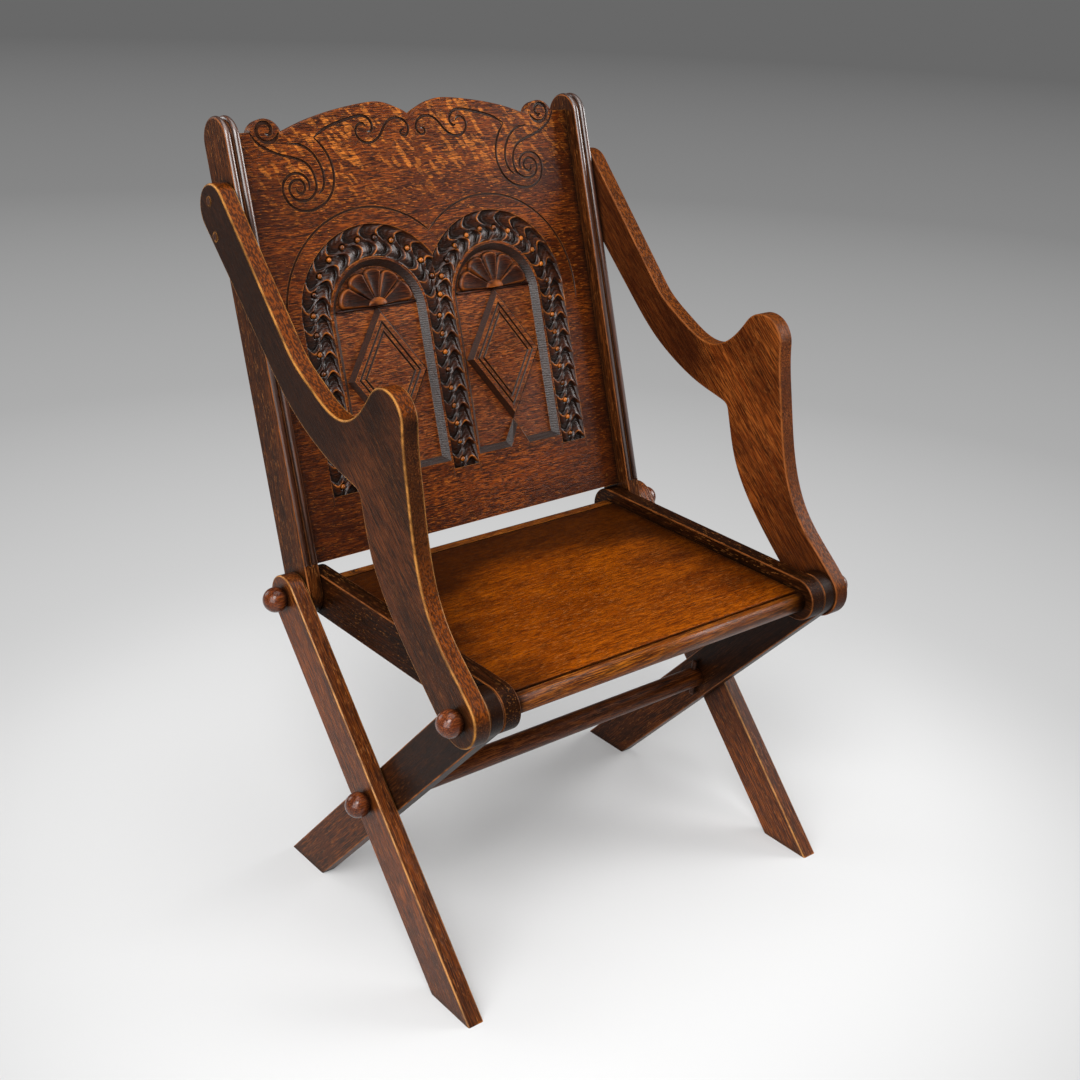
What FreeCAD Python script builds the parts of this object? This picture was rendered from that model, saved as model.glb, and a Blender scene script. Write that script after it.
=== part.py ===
import FreeCAD, Part
import math
import os

# A panel-backed oak armchair on crossed legs.
# Sizes are in millimetres.
# +X is the sitter's left-to-right axis, -Y is the front, +Z is up.
# Pieces are drawn with y = 0 at the crossing of the legs, and moved once at the end.

Vec = FreeCAD.Vector
ALONG_X = Vec(1, 0, 0)
UP = Vec(0, 0, 1)

# The planes of one side, from the outer face inwards.
OUTER_FACE = 286.0
OUTER_THICK = 21.0
INNER_THICK = 19.0
RAIL_THICK = 22.0
OUTER_BACK = OUTER_FACE - OUTER_THICK
INNER_BACK = OUTER_BACK - INNER_THICK
RAIL_BACK = INNER_BACK - RAIL_THICK

# The pivots, seen from the side.
PIVOT_REACH = 176.0
PIVOT_HEIGHT = 379.0
FOOT_REACH = 171.0
REAR = Vec(0, PIVOT_REACH, PIVOT_HEIGHT)
FRONT = Vec(0, -PIVOT_REACH, PIVOT_HEIGHT)
CROSSING = Vec(0, 0, PIVOT_HEIGHT * FOOT_REACH / (PIVOT_REACH + FOOT_REACH))

# The planks: legs, seat rails and stiles.
PLANK_WIDTH = 54.0
HALF_WIDTH = PLANK_WIDTH / 2
EDGE_EASE = 2.0

# The pins, with their ball heads.
SHANK_RADIUS = 8.0
PIN_CLEARANCE = 0.05
BALL_RADIUS = 15.3
BALL_STAND = 10.0
REAR_PIN_GRIP = 20.0

# The stiles of the back.
LEAN_DEG = 17.6
STILE_LENGTH = 528.7
FLUTE_RADIUS = 3.1
FLUTE_START = 34.0
STILE_TOP = Vec(0, math.sin(math.radians(LEAN_DEG)), math.cos(math.radians(LEAN_DEG)))
STILE_FRONT = Vec(0, -STILE_TOP.z, STILE_TOP.y)

# The carved panel, in the plane of the back: x across, t up from the rear pivot.
PANEL_RECESS = 19.0
PANEL_THICK = 17.0
PANEL_FOOT = 30.5
PANEL_SHOULDER = 535.0
TONGUE = 6.0
CREST_NOTCH = 543.0
CREST_RISE = [(16.0, 552.0), (45.0, 561.0), (92.0, 557.0), (140.0, 547.5)]
CREST_DIP = (182.0, 533.5)
SCROLL_MIDDLE = 203.0
SCROLL_HALF = 20.5
SCROLL_TOP = 550.0

# The two arched fields sunk in the panel.
ARCH_MIDDLE = 89.5
ARCH_RADIUS = 67.0
ARCH_SPRING = 309.0
FIELD_FOOT = 114.0
FIELD_DEPTH = 8.0
LOZENGE_MIDDLE = 234.0
LOZENGE_FACE = (50.0, 74.0)
LOZENGE_BASE = (57.0, 84.0)
LOZENGE_RISE = 6.5
LUNETTE_FOOT = 320.0
LUNETTE_RADIUS = 58.0
LUNETTE_RISE = 3.0

# The arms, seen from the side: rearward and up from the front pivot.
ARM_FOOT_LEAD = 3.0
ARM_FOOT_DROP = 1.0
ARM_FOOT_RADIUS = 32.0
ARM_FOOT_TURN = (135.0, 310.0)
ARM_REAR_EDGE = [(69.0, 15.0), (124.0, 69.0), (160.0, 120.0)]
ARM_PIT_LEAD = 184.0
ARM_PIT_RISE = 191.0
ARM_PIT_RADIUS = 12.0
ARM_PIT_TURN = (73.0, 16.0)
ARM_UNDER_EDGE = [(233.0, 203.0), (276.0, 219.0), (321.0, 244.0)]
ARM_UNDER_STRAIGHT = 176.8
ARM_UNDER_DEG = 43.3
ARM_TOP_STRAIGHT = 196.6
ARM_TOP_DEG = 46.0
ARM_TOP_EDGE = [(280.0, 280.5), (218.0, 261.5), (196.0, 270.0)]
ARM_KNOB_LEAD = 137.0
ARM_KNOB_RISE = 285.0
ARM_KNOB_RADIUS = 33.0
ARM_KNOB_TURN = (35.0, 178.0)
ARM_FRONT_EDGE = [(94.0, 219.0), (79.0, 151.0), (48.0, 85.0)]
# The head of the arm, up the stile and in front of its middle.
ARM_HEAD_HEIGHT = 454.2
ARM_HEAD_LEAD = 3.5
ARM_HEAD_RADIUS = 29.0
PLUG_OFFSETS = [-30.2, 9.8]
PLUG_RADIUS = 4.4
PLUG_GRIP = 10.0
PLUG_PROUD = 0.8

# The seat.
BOARD_RISE = 11.0
BOARD_TOP = PIVOT_HEIGHT + BOARD_RISE
BOARD_THICK = 16.0
BOARD_HOUSING = 6.0
TONGUE_THICK = 8.0
TENON_CLEAR = 4.0
BOARD_EASE = 1.5
NOSE_RADIUS = 15.0
REBATE_SET_BACK = 1.0
BOARD_GAP = 1.5
REAR_RAIL_BEHIND = 8.0
REAR_RAIL_BACK = PIVOT_REACH + REAR_RAIL_BEHIND
REAR_RAIL_WIDTH = 30.0
REAR_RAIL_DEPTH = 31.0
REAR_RAIL_LEDGE = 10.0
REAR_RAIL_ROUND = 9.0
SEAT_PIN_INSET = 14.0
SEAT_PIN_RADIUS = 2.2
SEAT_PIN_LENGTH = 18.0
SEAT_PIN_PROUD = 0.6

# The stretcher and the pegs that lock it.
STRETCHER_RADIUS = 13.5
PEG_RADIUS = 3.6
PEG_LENGTH = 51.0
PEG_GAP = 1.0

# The brads low in the panel.
BRAD_RADIUS = 1.8
BRAD_LENGTH = 9.0
BRAD_INSET = 20.0
BRAD_HEIGHT = 46.0
BRAD_PROUD = 0.5


def at_x(point, x):
    """The same side-view point at another x."""
    return Vec(x, point.y, point.z)


def polar(centre, radius, degrees):
    """A point on a circle in the side view, the angle counted from +Y towards +Z."""
    turn = math.radians(degrees)
    return centre + Vec(0, radius * math.cos(turn), radius * math.sin(turn))


def heading(degrees):
    """A direction in the side view."""
    return polar(Vec(0, 0, 0), 1.0, degrees)


def arc(first, middle, last):
    return Part.Arc(first, middle, last).toShape()


def line(first, last):
    return Part.makeLine(first, last)


def spline(points, first_heading, last_heading):
    """A smooth curve through points, with set directions at its ends."""
    curve = Part.BSplineCurve()
    curve.interpolate(Points=points, InitialTangent=first_heading, FinalTangent=last_heading)
    return curve.toShape()


def slab(edges, x, thickness):
    """A side-view outline made solid from x towards +X."""
    shape = Part.Face(Part.Wire(edges)).extrude(Vec(thickness, 0, 0))
    shape.translate(Vec(x, 0, 0))
    return shape


def bored(shape, centre, radius):
    """A hole along X through the whole piece."""
    reach = 2 * OUTER_FACE
    return shape.cut(Part.makeCylinder(radius, 2 * reach, at_x(centre, -reach), ALONG_X))


def eased(shape, radius):
    """Round the arrises of a plank all round both its faces, but not along the floor."""
    edges = [e for e in shape.Edges if e.BoundBox.XLength < 0.01 and e.BoundBox.ZMax > 0.01]
    return shape.makeFillet(radius, edges)


def round_ended_outline(first, last):
    """The edges of a plank with a round end about each of two points."""
    along = (last - first).normalize()
    side = ALONG_X.cross(along) * HALF_WIDTH
    end = along * HALF_WIDTH
    return [
        line(first + side, last + side),
        arc(last + side, last + end, last - side),
        line(last - side, first - side),
        arc(first - side, first - end, first + side),
    ]


def leg(top, foot_y, x, thickness):
    """A leg: round about its pivot, cut level at the floor, bored at pivot and crossing."""
    along = (Vec(0, foot_y, 0) - top).normalize()
    side = ALONG_X.cross(along) * HALF_WIDTH
    end = along * HALF_WIDTH

    def floor_point(start):
        return start + along * (-start.z / along.z)

    outline = [
        line(top + side, floor_point(top + side)),
        line(floor_point(top + side), floor_point(top - side)),
        line(floor_point(top - side), top - side),
        arc(top - side, top - end, top + side),
    ]
    shape = eased(slab(outline, x, thickness), EDGE_EASE)
    for centre in (top, CROSSING):
        shape = bored(shape, centre, SHANK_RADIUS + PIN_CLEARANCE)
    return shape


def outer_leg():
    return leg(REAR, -FOOT_REACH, OUTER_BACK, OUTER_THICK)


def inner_leg():
    return leg(FRONT, FOOT_REACH, INNER_BACK, INNER_THICK)


def ball_pin(centre, inner_x):
    """A pin with a ball head on the outer face and a shank to inner_x."""
    ball = Part.makeSphere(BALL_RADIUS, at_x(centre, OUTER_FACE + BALL_STAND))
    behind = Part.makeBox(OUTER_FACE, 4 * BALL_RADIUS, 4 * BALL_RADIUS)
    behind.translate(at_x(centre, 0) - Vec(0, 2 * BALL_RADIUS, 2 * BALL_RADIUS))
    shank = Part.makeCylinder(SHANK_RADIUS, OUTER_FACE + 1 - inner_x, at_x(centre, inner_x), ALONG_X)
    return ball.cut(behind).fuse(shank).removeSplitter()


def rear_pin():
    return ball_pin(REAR, RAIL_BACK - REAR_PIN_GRIP)


def front_pin():
    return ball_pin(FRONT, OUTER_BACK)


def cross_pin():
    return ball_pin(CROSSING, OUTER_BACK)


def on_back(x, t, depth):
    """A point of the back from x, height t up the stile and depth in front of its middle."""
    return REAR + ALONG_X * x + STILE_TOP * t + STILE_FRONT * depth


def place_on_back(shape):
    """Move a piece drawn flat (x, t, depth) into the leaning plane of the back."""
    columns = (ALONG_X, STILE_TOP, STILE_FRONT)
    rows = [[column[i] for column in columns] + [REAR[i]] for i in range(3)]
    matrix = FreeCAD.Matrix(*rows[0], *rows[1], *rows[2], 0, 0, 0, 1)
    return shape.transformGeometry(FreeCAD.Matrix()).transformed(matrix, True)


PANEL_FACE = HALF_WIDTH - PANEL_RECESS
PANEL_BACK = PANEL_FACE - PANEL_THICK


def back_stile():
    """A stile with rounded ends, a flute between two beads, and a groove for the panel."""
    top = REAR + STILE_TOP * STILE_LENGTH
    shape = eased(slab(round_ended_outline(REAR, top), INNER_BACK, INNER_THICK), EDGE_EASE)
    middle = INNER_BACK + INNER_THICK / 2
    start = on_back(middle, FLUTE_START, HALF_WIDTH)
    flute = Part.makeCylinder(FLUTE_RADIUS, STILE_LENGTH - FLUTE_START, start, STILE_TOP)
    over_top = Part.makeTorus(HALF_WIDTH, FLUTE_RADIUS, at_x(top, middle), ALONG_X)
    below = Part.makeBox(OUTER_FACE, 2 * PLANK_WIDTH, PLANK_WIDTH)
    below.translate(Vec(0, -PLANK_WIDTH, -PLANK_WIDTH))
    below.rotate(Vec(0, 0, 0), ALONG_X, -LEAN_DEG)
    below.translate(at_x(top, 0))
    stop = Part.makeSphere(FLUTE_RADIUS, start)
    shape = shape.cut([flute, over_top.cut(below), stop])
    groove = Part.makeBox(TONGUE, PANEL_SHOULDER - PANEL_FOOT, PANEL_THICK)
    groove.translate(Vec(INNER_BACK, PANEL_FOOT, PANEL_BACK))
    shape = shape.cut(place_on_back(groove))
    return bored(shape, REAR, SHANK_RADIUS + PIN_CLEARANCE)


def crest_edges():
    """The top edge of the panel's right half, from its middle to its tongue."""
    notch = Vec(0, CREST_NOTCH, 0)
    dip = Vec(*CREST_DIP, 0)
    rise = [notch] + [Vec(x, t, 0) for x, t in CREST_RISE] + [dip]
    lobe = Part.BSplineCurve()
    lobe.interpolate(Points=rise)
    scroll_start = Vec(SCROLL_MIDDLE - SCROLL_HALF, PANEL_SHOULDER, 0)
    scroll_end = Vec(SCROLL_MIDDLE + SCROLL_HALF, PANEL_SHOULDER, 0)
    return [
        lobe.toShape(),
        line(dip, scroll_start),
        arc(scroll_start, Vec(SCROLL_MIDDLE, SCROLL_TOP, 0), scroll_end),
        line(scroll_end, Vec(INNER_BACK + TONGUE, PANEL_SHOULDER, 0)),
    ]


def arched_field():
    """The sunk field under one arch, as the block to cut away, with what stays standing in it."""
    left = ARCH_MIDDLE - ARCH_RADIUS
    right = ARCH_MIDDLE + ARCH_RADIUS
    edges = [
        line(Vec(left, FIELD_FOOT, 0), Vec(right, FIELD_FOOT, 0)),
        line(Vec(right, FIELD_FOOT, 0), Vec(right, ARCH_SPRING, 0)),
        arc(Vec(right, ARCH_SPRING, 0), Vec(ARCH_MIDDLE, ARCH_SPRING + ARCH_RADIUS, 0),
            Vec(left, ARCH_SPRING, 0)),
        line(Vec(left, ARCH_SPRING, 0), Vec(left, FIELD_FOOT, 0)),
    ]
    field = Part.Face(Part.Wire(edges)).extrude(Vec(0, 0, FIELD_DEPTH))

    def lozenge_wire(half, height):
        across, upright = half
        corners = [(across, 0), (0, upright), (-across, 0), (0, -upright), (across, 0)]
        return Part.makePolygon([Vec(ARCH_MIDDLE + x, LOZENGE_MIDDLE + t, height) for x, t in corners])

    lozenge = Part.makeLoft([lozenge_wire(LOZENGE_BASE, 0), lozenge_wire(LOZENGE_FACE, LOZENGE_RISE)], True)
    low = Vec(ARCH_MIDDLE - LUNETTE_RADIUS, LUNETTE_FOOT, 0)
    high = Vec(ARCH_MIDDLE, ARCH_SPRING + LUNETTE_RADIUS, 0)
    far = Vec(ARCH_MIDDLE + LUNETTE_RADIUS, LUNETTE_FOOT, 0)
    fan = Part.Face(Part.Wire([arc(low, high, far), line(far, low)])).extrude(Vec(0, 0, LUNETTE_RISE))
    return field.cut([lozenge, fan])


def mirrored(shape):
    return shape.mirror(Vec(0, 0, 0), ALONG_X)


def back_panel():
    """One board with a shaped crest and two arched fields, drawn flat and then leaned back."""
    half_width = INNER_BACK + TONGUE
    right = crest_edges()
    corner = Vec(half_width, PANEL_FOOT, 0)
    right.append(line(Vec(half_width, PANEL_SHOULDER, 0), corner))
    outline = right + [mirrored(edge) for edge in right]
    outline.append(line(corner, Vec(-half_width, PANEL_FOOT, 0)))
    board = Part.Face(Part.Wire(Part.__sortEdges__(outline))).extrude(Vec(0, 0, PANEL_THICK))
    field = arched_field()
    field.translate(Vec(0, 0, PANEL_THICK - FIELD_DEPTH))
    board = board.cut([field, mirrored(field)])
    board.translate(Vec(0, 0, PANEL_BACK))
    board = place_on_back(board)
    for brad in panel_brads():
        board = board.cut(brad)
    return board


def panel_brads():
    """Two brads near the lower corners of the panel."""
    start = PANEL_FACE + BRAD_PROUD - BRAD_LENGTH
    places = [INNER_BACK - BRAD_INSET, BRAD_INSET - INNER_BACK]
    return [
        Part.makeCylinder(BRAD_RADIUS, BRAD_LENGTH, on_back(x, BRAD_HEIGHT, start), STILE_FRONT)
        for x in places
    ]


def arm_point(lead, rise):
    """A side-view point counted rearward and up from the front pivot."""
    return FRONT + Vec(0, lead, rise)


def circle_part(centre, radius, start_deg, end_deg):
    """An arc from one angle to another."""
    middle = polar(centre, radius, (start_deg + end_deg) / 2)
    return arc(polar(centre, radius, start_deg), middle, polar(centre, radius, end_deg))


def pit_arc():
    """The small hollow where the upright and the rail of the arm meet, with its two ends."""
    rear_deg, under_deg = ARM_PIT_TURN
    corner = arm_point(ARM_PIT_LEAD, ARM_PIT_RISE)
    setback = ARM_PIT_RADIUS * math.tan(math.radians((rear_deg - under_deg) / 2))
    centre = corner - heading(rear_deg) * setback + heading(rear_deg - 90) * ARM_PIT_RADIUS
    start = polar(centre, ARM_PIT_RADIUS, rear_deg + 90)
    end = polar(centre, ARM_PIT_RADIUS, under_deg + 90)
    return circle_part(centre, ARM_PIT_RADIUS, rear_deg + 90, under_deg + 90), start, end


def arm_outline():
    """The swept arm: foot on the front pivot, up to the knob, dip, and straight to the stile."""
    foot = arm_point(ARM_FOOT_LEAD, -ARM_FOOT_DROP)
    knob = arm_point(ARM_KNOB_LEAD, ARM_KNOB_RISE)
    head = on_back(0, ARM_HEAD_HEIGHT, ARM_HEAD_LEAD)
    foot_front_deg, foot_rear_deg = ARM_FOOT_TURN
    knob_rear_deg, knob_front_deg = ARM_KNOB_TURN
    rear_deg, under_deg = ARM_PIT_TURN
    foot_front = polar(foot, ARM_FOOT_RADIUS, foot_front_deg)
    foot_rear = polar(foot, ARM_FOOT_RADIUS, foot_rear_deg)
    knob_rear = polar(knob, ARM_KNOB_RADIUS, knob_rear_deg)
    knob_front = polar(knob, ARM_KNOB_RADIUS, knob_front_deg)
    head_under = polar(head, ARM_HEAD_RADIUS, ARM_UNDER_DEG - 90)
    head_top = polar(head, ARM_HEAD_RADIUS, ARM_TOP_DEG + 90)
    under_end = head_under - heading(ARM_UNDER_DEG) * ARM_UNDER_STRAIGHT
    top_end = head_top - heading(ARM_TOP_DEG) * ARM_TOP_STRAIGHT
    pit, pit_rear, pit_under = pit_arc()

    def through(pairs):
        return [arm_point(lead, rise) for lead, rise in pairs]

    rear_edge = [foot_rear] + through(ARM_REAR_EDGE) + [pit_rear]
    under_edge = [pit_under] + through(ARM_UNDER_EDGE) + [under_end]
    top_edge = [top_end] + through(ARM_TOP_EDGE) + [knob_rear]
    front_edge = [knob_front] + through(ARM_FRONT_EDGE) + [foot_front]
    return [
        circle_part(foot, ARM_FOOT_RADIUS, foot_front_deg, foot_rear_deg),
        spline(rear_edge, heading(foot_rear_deg + 90), heading(rear_deg)),
        pit,
        spline(under_edge, heading(under_deg), heading(ARM_UNDER_DEG)),
        line(under_end, head_under),
        circle_part(head, ARM_HEAD_RADIUS, ARM_UNDER_DEG - 90, ARM_TOP_DEG + 90),
        line(head_top, top_end),
        spline(top_edge, heading(ARM_TOP_DEG + 180), heading(knob_rear_deg + 90)),
        circle_part(knob, ARM_KNOB_RADIUS, knob_rear_deg, knob_front_deg),
        spline(front_edge, heading(knob_front_deg + 90), heading(foot_front_deg + 90)),
    ]


def arm():
    """An arm on the outer face, bored for the front pin and for its two plugs."""
    shape = eased(slab(arm_outline(), OUTER_BACK, OUTER_THICK), EDGE_EASE)
    shape = bored(shape, FRONT, SHANK_RADIUS + PIN_CLEARANCE)
    return shape.cut(arm_plugs())


def arm_plugs():
    """The two plugs that fasten an arm to its stile, as separate solids."""
    length = OUTER_THICK + PLUG_GRIP + PLUG_PROUD
    starts = [on_back(OUTER_BACK - PLUG_GRIP, ARM_HEAD_HEIGHT + up, 0) for up in PLUG_OFFSETS]
    return [Part.makeCylinder(PLUG_RADIUS, length, start, ALONG_X) for start in starts]


def board_ends():
    """Where the board of the seat starts and ends, from front to rear."""
    start = FRONT.y + REBATE_SET_BACK + BOARD_GAP
    end = REAR_RAIL_BACK - REAR_RAIL_WIDTH + REAR_RAIL_LEDGE - BOARD_GAP
    return start, end


def board_tongue():
    """The edge of the board that is housed in the +X rail, clear of the front tenon."""
    start = FRONT.y + SHANK_RADIUS + TENON_CLEAR
    length = board_ends()[1] - start
    return Part.makeBox(BOARD_HOUSING, length, TONGUE_THICK, Vec(RAIL_BACK, start, BOARD_TOP - BOARD_THICK))


def seat_board():
    """The board of the seat, housed in the rails at both sides."""
    start, end = board_ends()
    corner = Vec(-RAIL_BACK, start, BOARD_TOP - BOARD_THICK)
    board = Part.makeBox(2 * RAIL_BACK, end - start, BOARD_THICK, corner)
    top_edges = [e for e in board.Edges if e.BoundBox.ZMin > BOARD_TOP - 1 and e.BoundBox.XLength > 1]
    board = board.makeFillet(BOARD_EASE, top_edges)
    return board.fuse([board_tongue(), mirrored(board_tongue())]).removeSplitter()


def seat_rail():
    """A side rail of the seat, bored at both pivots and grooved for the board."""
    shape = eased(slab(round_ended_outline(FRONT, REAR), RAIL_BACK, RAIL_THICK), EDGE_EASE)
    for centre in (FRONT, REAR):
        shape = bored(shape, centre, SHANK_RADIUS + PIN_CLEARANCE)
    return shape.cut(board_tongue())


def seat_front_rail():
    """The round front rail, rebated for the board, with a tenon at each end for the front legs."""
    bar = Part.makeCylinder(NOSE_RADIUS, 2 * RAIL_BACK, at_x(FRONT, -RAIL_BACK), ALONG_X)
    rebate = Part.makeBox(2 * RAIL_BACK, PLANK_WIDTH, PLANK_WIDTH)
    rebate.translate(Vec(-RAIL_BACK, FRONT.y + REBATE_SET_BACK, BOARD_TOP - BOARD_THICK))
    tenon = Part.makeCylinder(SHANK_RADIUS, 2 * OUTER_BACK, at_x(FRONT, -OUTER_BACK), ALONG_X)
    core = Part.makeCylinder(SHANK_RADIUS, 2 * RAIL_BACK, at_x(FRONT, -RAIL_BACK), ALONG_X)
    return bar.cut(rebate).fuse(tenon.cut(core)).removeSplitter()


def seat_rear_rail():
    """The rear rail, rebated for the board, rounded behind and bored for the rear pins."""
    rail = Part.makeBox(2 * RAIL_BACK, REAR_RAIL_WIDTH, REAR_RAIL_DEPTH)
    rail.translate(Vec(-RAIL_BACK, REAR_RAIL_BACK - REAR_RAIL_WIDTH, BOARD_TOP - REAR_RAIL_DEPTH))
    back_edge = [
        e for e in rail.Edges
        if e.BoundBox.XLength > RAIL_BACK and e.BoundBox.YMin > REAR_RAIL_BACK - 1
        and e.BoundBox.ZMin > BOARD_TOP - 1
    ]
    rail = rail.makeFillet(REAR_RAIL_ROUND, back_edge)
    rebate = Part.makeBox(2 * RAIL_BACK, REAR_RAIL_LEDGE, BOARD_THICK)
    rebate.translate(Vec(-RAIL_BACK, REAR_RAIL_BACK - REAR_RAIL_WIDTH, BOARD_TOP - BOARD_THICK))
    rail = rail.cut(rebate)
    for x in (RAIL_BACK - REAR_PIN_GRIP, -RAIL_BACK):
        socket = Part.makeCylinder(SHANK_RADIUS + PIN_CLEARANCE, REAR_PIN_GRIP, at_x(REAR, x), ALONG_X)
        rail = rail.cut(socket)
    return rail.cut(seat_pins())


def seat_pins():
    """Two small pins let into the top of the rear rail, one near each end."""
    y = REAR_RAIL_BACK - REAR_RAIL_ROUND - SEAT_PIN_RADIUS
    start = BOARD_TOP + SEAT_PIN_PROUD - SEAT_PIN_LENGTH
    places = [RAIL_BACK - REAR_PIN_GRIP - SEAT_PIN_INSET, SEAT_PIN_INSET + REAR_PIN_GRIP - RAIL_BACK]
    return [Part.makeCylinder(SEAT_PIN_RADIUS, SEAT_PIN_LENGTH, Vec(x, y, start)) for x in places]


PEG_X = INNER_BACK - PEG_GAP - PEG_RADIUS


def stretcher():
    """The round stretcher between the inner legs, with a tenon at each end and a hole for each peg."""
    bar = Part.makeCylinder(STRETCHER_RADIUS, 2 * INNER_BACK, at_x(CROSSING, -INNER_BACK), ALONG_X)
    tenon = Part.makeCylinder(SHANK_RADIUS, 2 * OUTER_BACK, at_x(CROSSING, -OUTER_BACK), ALONG_X)
    shape = bar.fuse(tenon).removeSplitter()
    for x in (PEG_X, -PEG_X):
        low = at_x(CROSSING, x) - UP * STRETCHER_RADIUS * 2
        hole = Part.makeCylinder(PEG_RADIUS + PIN_CLEARANCE, 4 * STRETCHER_RADIUS, low)
        shape = shape.cut(hole)
    return shape


def stretcher_peg():
    """A peg with eased ends, upright through the stretcher beside the inner leg."""
    peg = Part.makeCylinder(PEG_RADIUS, PEG_LENGTH, at_x(CROSSING, PEG_X) - UP * PEG_LENGTH / 2)
    rims = [edge for edge in peg.Edges if edge.BoundBox.ZLength < 1]
    return peg.makeChamfer(PEG_RADIUS / 3, rims)


def both_sides(name, shape):
    """The same piece for both sides; the drawn one is on the +X side."""
    return {name + "_right": shape, name + "_left": mirrored(shape)}


def chair():
    """Every piece of the chair under its own name."""
    nodes = {
        "seat_board": seat_board(),
        "seat_front_rail": seat_front_rail(),
        "seat_rear_rail": seat_rear_rail(),
        "seat_pins": Part.makeCompound(seat_pins()),
        "stretcher": stretcher(),
        "back_panel": back_panel(),
        "panel_brads": Part.makeCompound(panel_brads()),
    }
    nodes.update(both_sides("seat_rail", seat_rail()))
    nodes.update(both_sides("rear_pin", rear_pin()))
    nodes.update(both_sides("front_pin", front_pin()))
    nodes.update(both_sides("cross_pin", cross_pin()))
    nodes.update(both_sides("outer_leg", outer_leg()))
    nodes.update(both_sides("inner_leg", inner_leg()))
    nodes.update(both_sides("stretcher_peg", stretcher_peg()))
    stile = back_stile().cut(arm_plugs())
    nodes.update(both_sides("back_stile", stile))
    nodes.update(both_sides("arm", arm()))
    nodes.update(both_sides("arm_plugs", Part.makeCompound(arm_plugs())))
    return nodes


def main():
    """Build the chair, centre its depth over the origin and write one file per piece."""
    nodes = chair()
    whole = Part.makeCompound(list(nodes.values())).optimalBoundingBox(False, False)
    shift = Vec(0, -(whole.YMin + whole.YMax) / 2, 0)
    os.makedirs("parts", exist_ok=True)
    for name, shape in nodes.items():
        shape.translate(shift)
        shape.exportStep("parts/" + name + ".step")


main()
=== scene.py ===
"""Oak armchair on crossed legs: finishes, carving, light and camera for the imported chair.

Sizes are in millimetres unless a name or comment says otherwise. The back is drawn flat, with x across it,
t up the stile from the rear pivot and z out to the front, and is then leaned back.
"""

from __future__ import annotations

import logging
import math
from dataclasses import dataclass, field
from enum import Enum
from functools import partial
from typing import Any, Callable, Iterable, Sequence

import bmesh
import bpy
from bmesh.types import BMEdge, BMesh, BMFace, BMVert
from bpy.types import Material, Node, NodeSocket, NodeTree, Object, World
from mathutils import Euler, Matrix, Vector
from mathutils.geometry import interpolate_bezier

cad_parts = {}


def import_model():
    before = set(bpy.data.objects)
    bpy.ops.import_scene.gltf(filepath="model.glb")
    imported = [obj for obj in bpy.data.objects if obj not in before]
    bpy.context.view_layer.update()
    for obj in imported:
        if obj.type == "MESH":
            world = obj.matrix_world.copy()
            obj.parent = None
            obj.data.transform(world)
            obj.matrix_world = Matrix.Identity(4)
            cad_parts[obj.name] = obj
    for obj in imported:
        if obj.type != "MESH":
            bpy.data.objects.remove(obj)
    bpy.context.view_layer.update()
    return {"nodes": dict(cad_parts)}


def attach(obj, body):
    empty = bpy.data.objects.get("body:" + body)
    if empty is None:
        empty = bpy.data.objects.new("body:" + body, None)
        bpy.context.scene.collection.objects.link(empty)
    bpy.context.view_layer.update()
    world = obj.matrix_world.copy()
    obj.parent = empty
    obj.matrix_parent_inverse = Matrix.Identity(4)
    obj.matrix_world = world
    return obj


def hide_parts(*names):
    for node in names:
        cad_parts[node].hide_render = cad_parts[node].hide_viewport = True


LOG = logging.getLogger("oak_armchair")
Point = tuple[float, float]
Triple = tuple[float, float, float]

MM = 0.001
SNAP = 0.01
QUARTER_TURN = math.radians(90)
LEAN_DEG = 17.6
REAR_PIVOT = (0.0, 98.372, 379.0)
FRONT_PIVOT = (0.0, -253.628, 379.0)

# Sockets of a Mix node that blends two colours.
MIX_FACTOR = 0
MIX_FIRST = 6
MIX_SECOND = 7
MIX_RESULT = 2

# A wave texture of scale 1 repeats about every 0.314 of a unit.
WAVE_SPAN = 0.314


def linear(hex_colour: str) -> tuple[float, float, float, float]:
    """Turn an sRGB hex colour into linear RGBA.

    Args:
        hex_colour: Six hex digits, with or without a leading hash.

    Returns:
        The linear colour with alpha 1.
    """
    digits = hex_colour.lstrip("#")
    channels = [int(digits[i:i + 2], 16) / 255 for i in (0, 2, 4)]
    parts = [c / 12.92 if c <= 0.04045 else ((c + 0.055) / 1.055) ** 2.4 for c in channels]
    return (parts[0], parts[1], parts[2], 1.0)


def add_node(
        tree: NodeTree, kind: str, inputs: dict[Any, Any] | None = None, **settings: Any) -> Node:
    """Add one shader node with its settings and links.

    Args:
        tree: The node tree that gets the node.
        kind: The node's type name, without the ShaderNode prefix.
        inputs: Values or sockets by input name or index.
        **settings: Attributes of the node.

    Returns:
        The new node.
    """
    made = tree.nodes.new("ShaderNode" + kind)
    for name, value in settings.items():
        setattr(made, name, value)
    for key, value in (inputs or {}).items():
        if isinstance(value, NodeSocket):
            tree.links.new(value, made.inputs[key])
        else:
            made.inputs[key].default_value = value
    return made


def blank_tree(owner: Material | World) -> Callable[..., Node]:
    """Empty the node tree of a material or a world.

    Args:
        owner: What the tree belongs to.

    Returns:
        The function add_node for that tree.
    """
    owner.use_nodes = True
    owner.node_tree.nodes.clear()
    return partial(add_node, owner.node_tree)


class Grain(Enum):
    """Which way the fibres run: across the chair, or at an angle in degrees in the side view."""

    ACROSS = None
    LEVEL = 0.0
    OUTER_LEG = 47.5
    INNER_LEG = -47.5
    STILE = 90.0 - LEAN_DEG
    ARM = 42.0

    def turn(self) -> Triple:
        """Find the rotation that lays the fibres along local Y.

        Returns:
            Euler angles in radians.
        """
        if self is Grain.ACROSS:
            return (0.0, 0.0, QUARTER_TURN)
        return (math.radians(-self.value), 0.0, 0.0)


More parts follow.
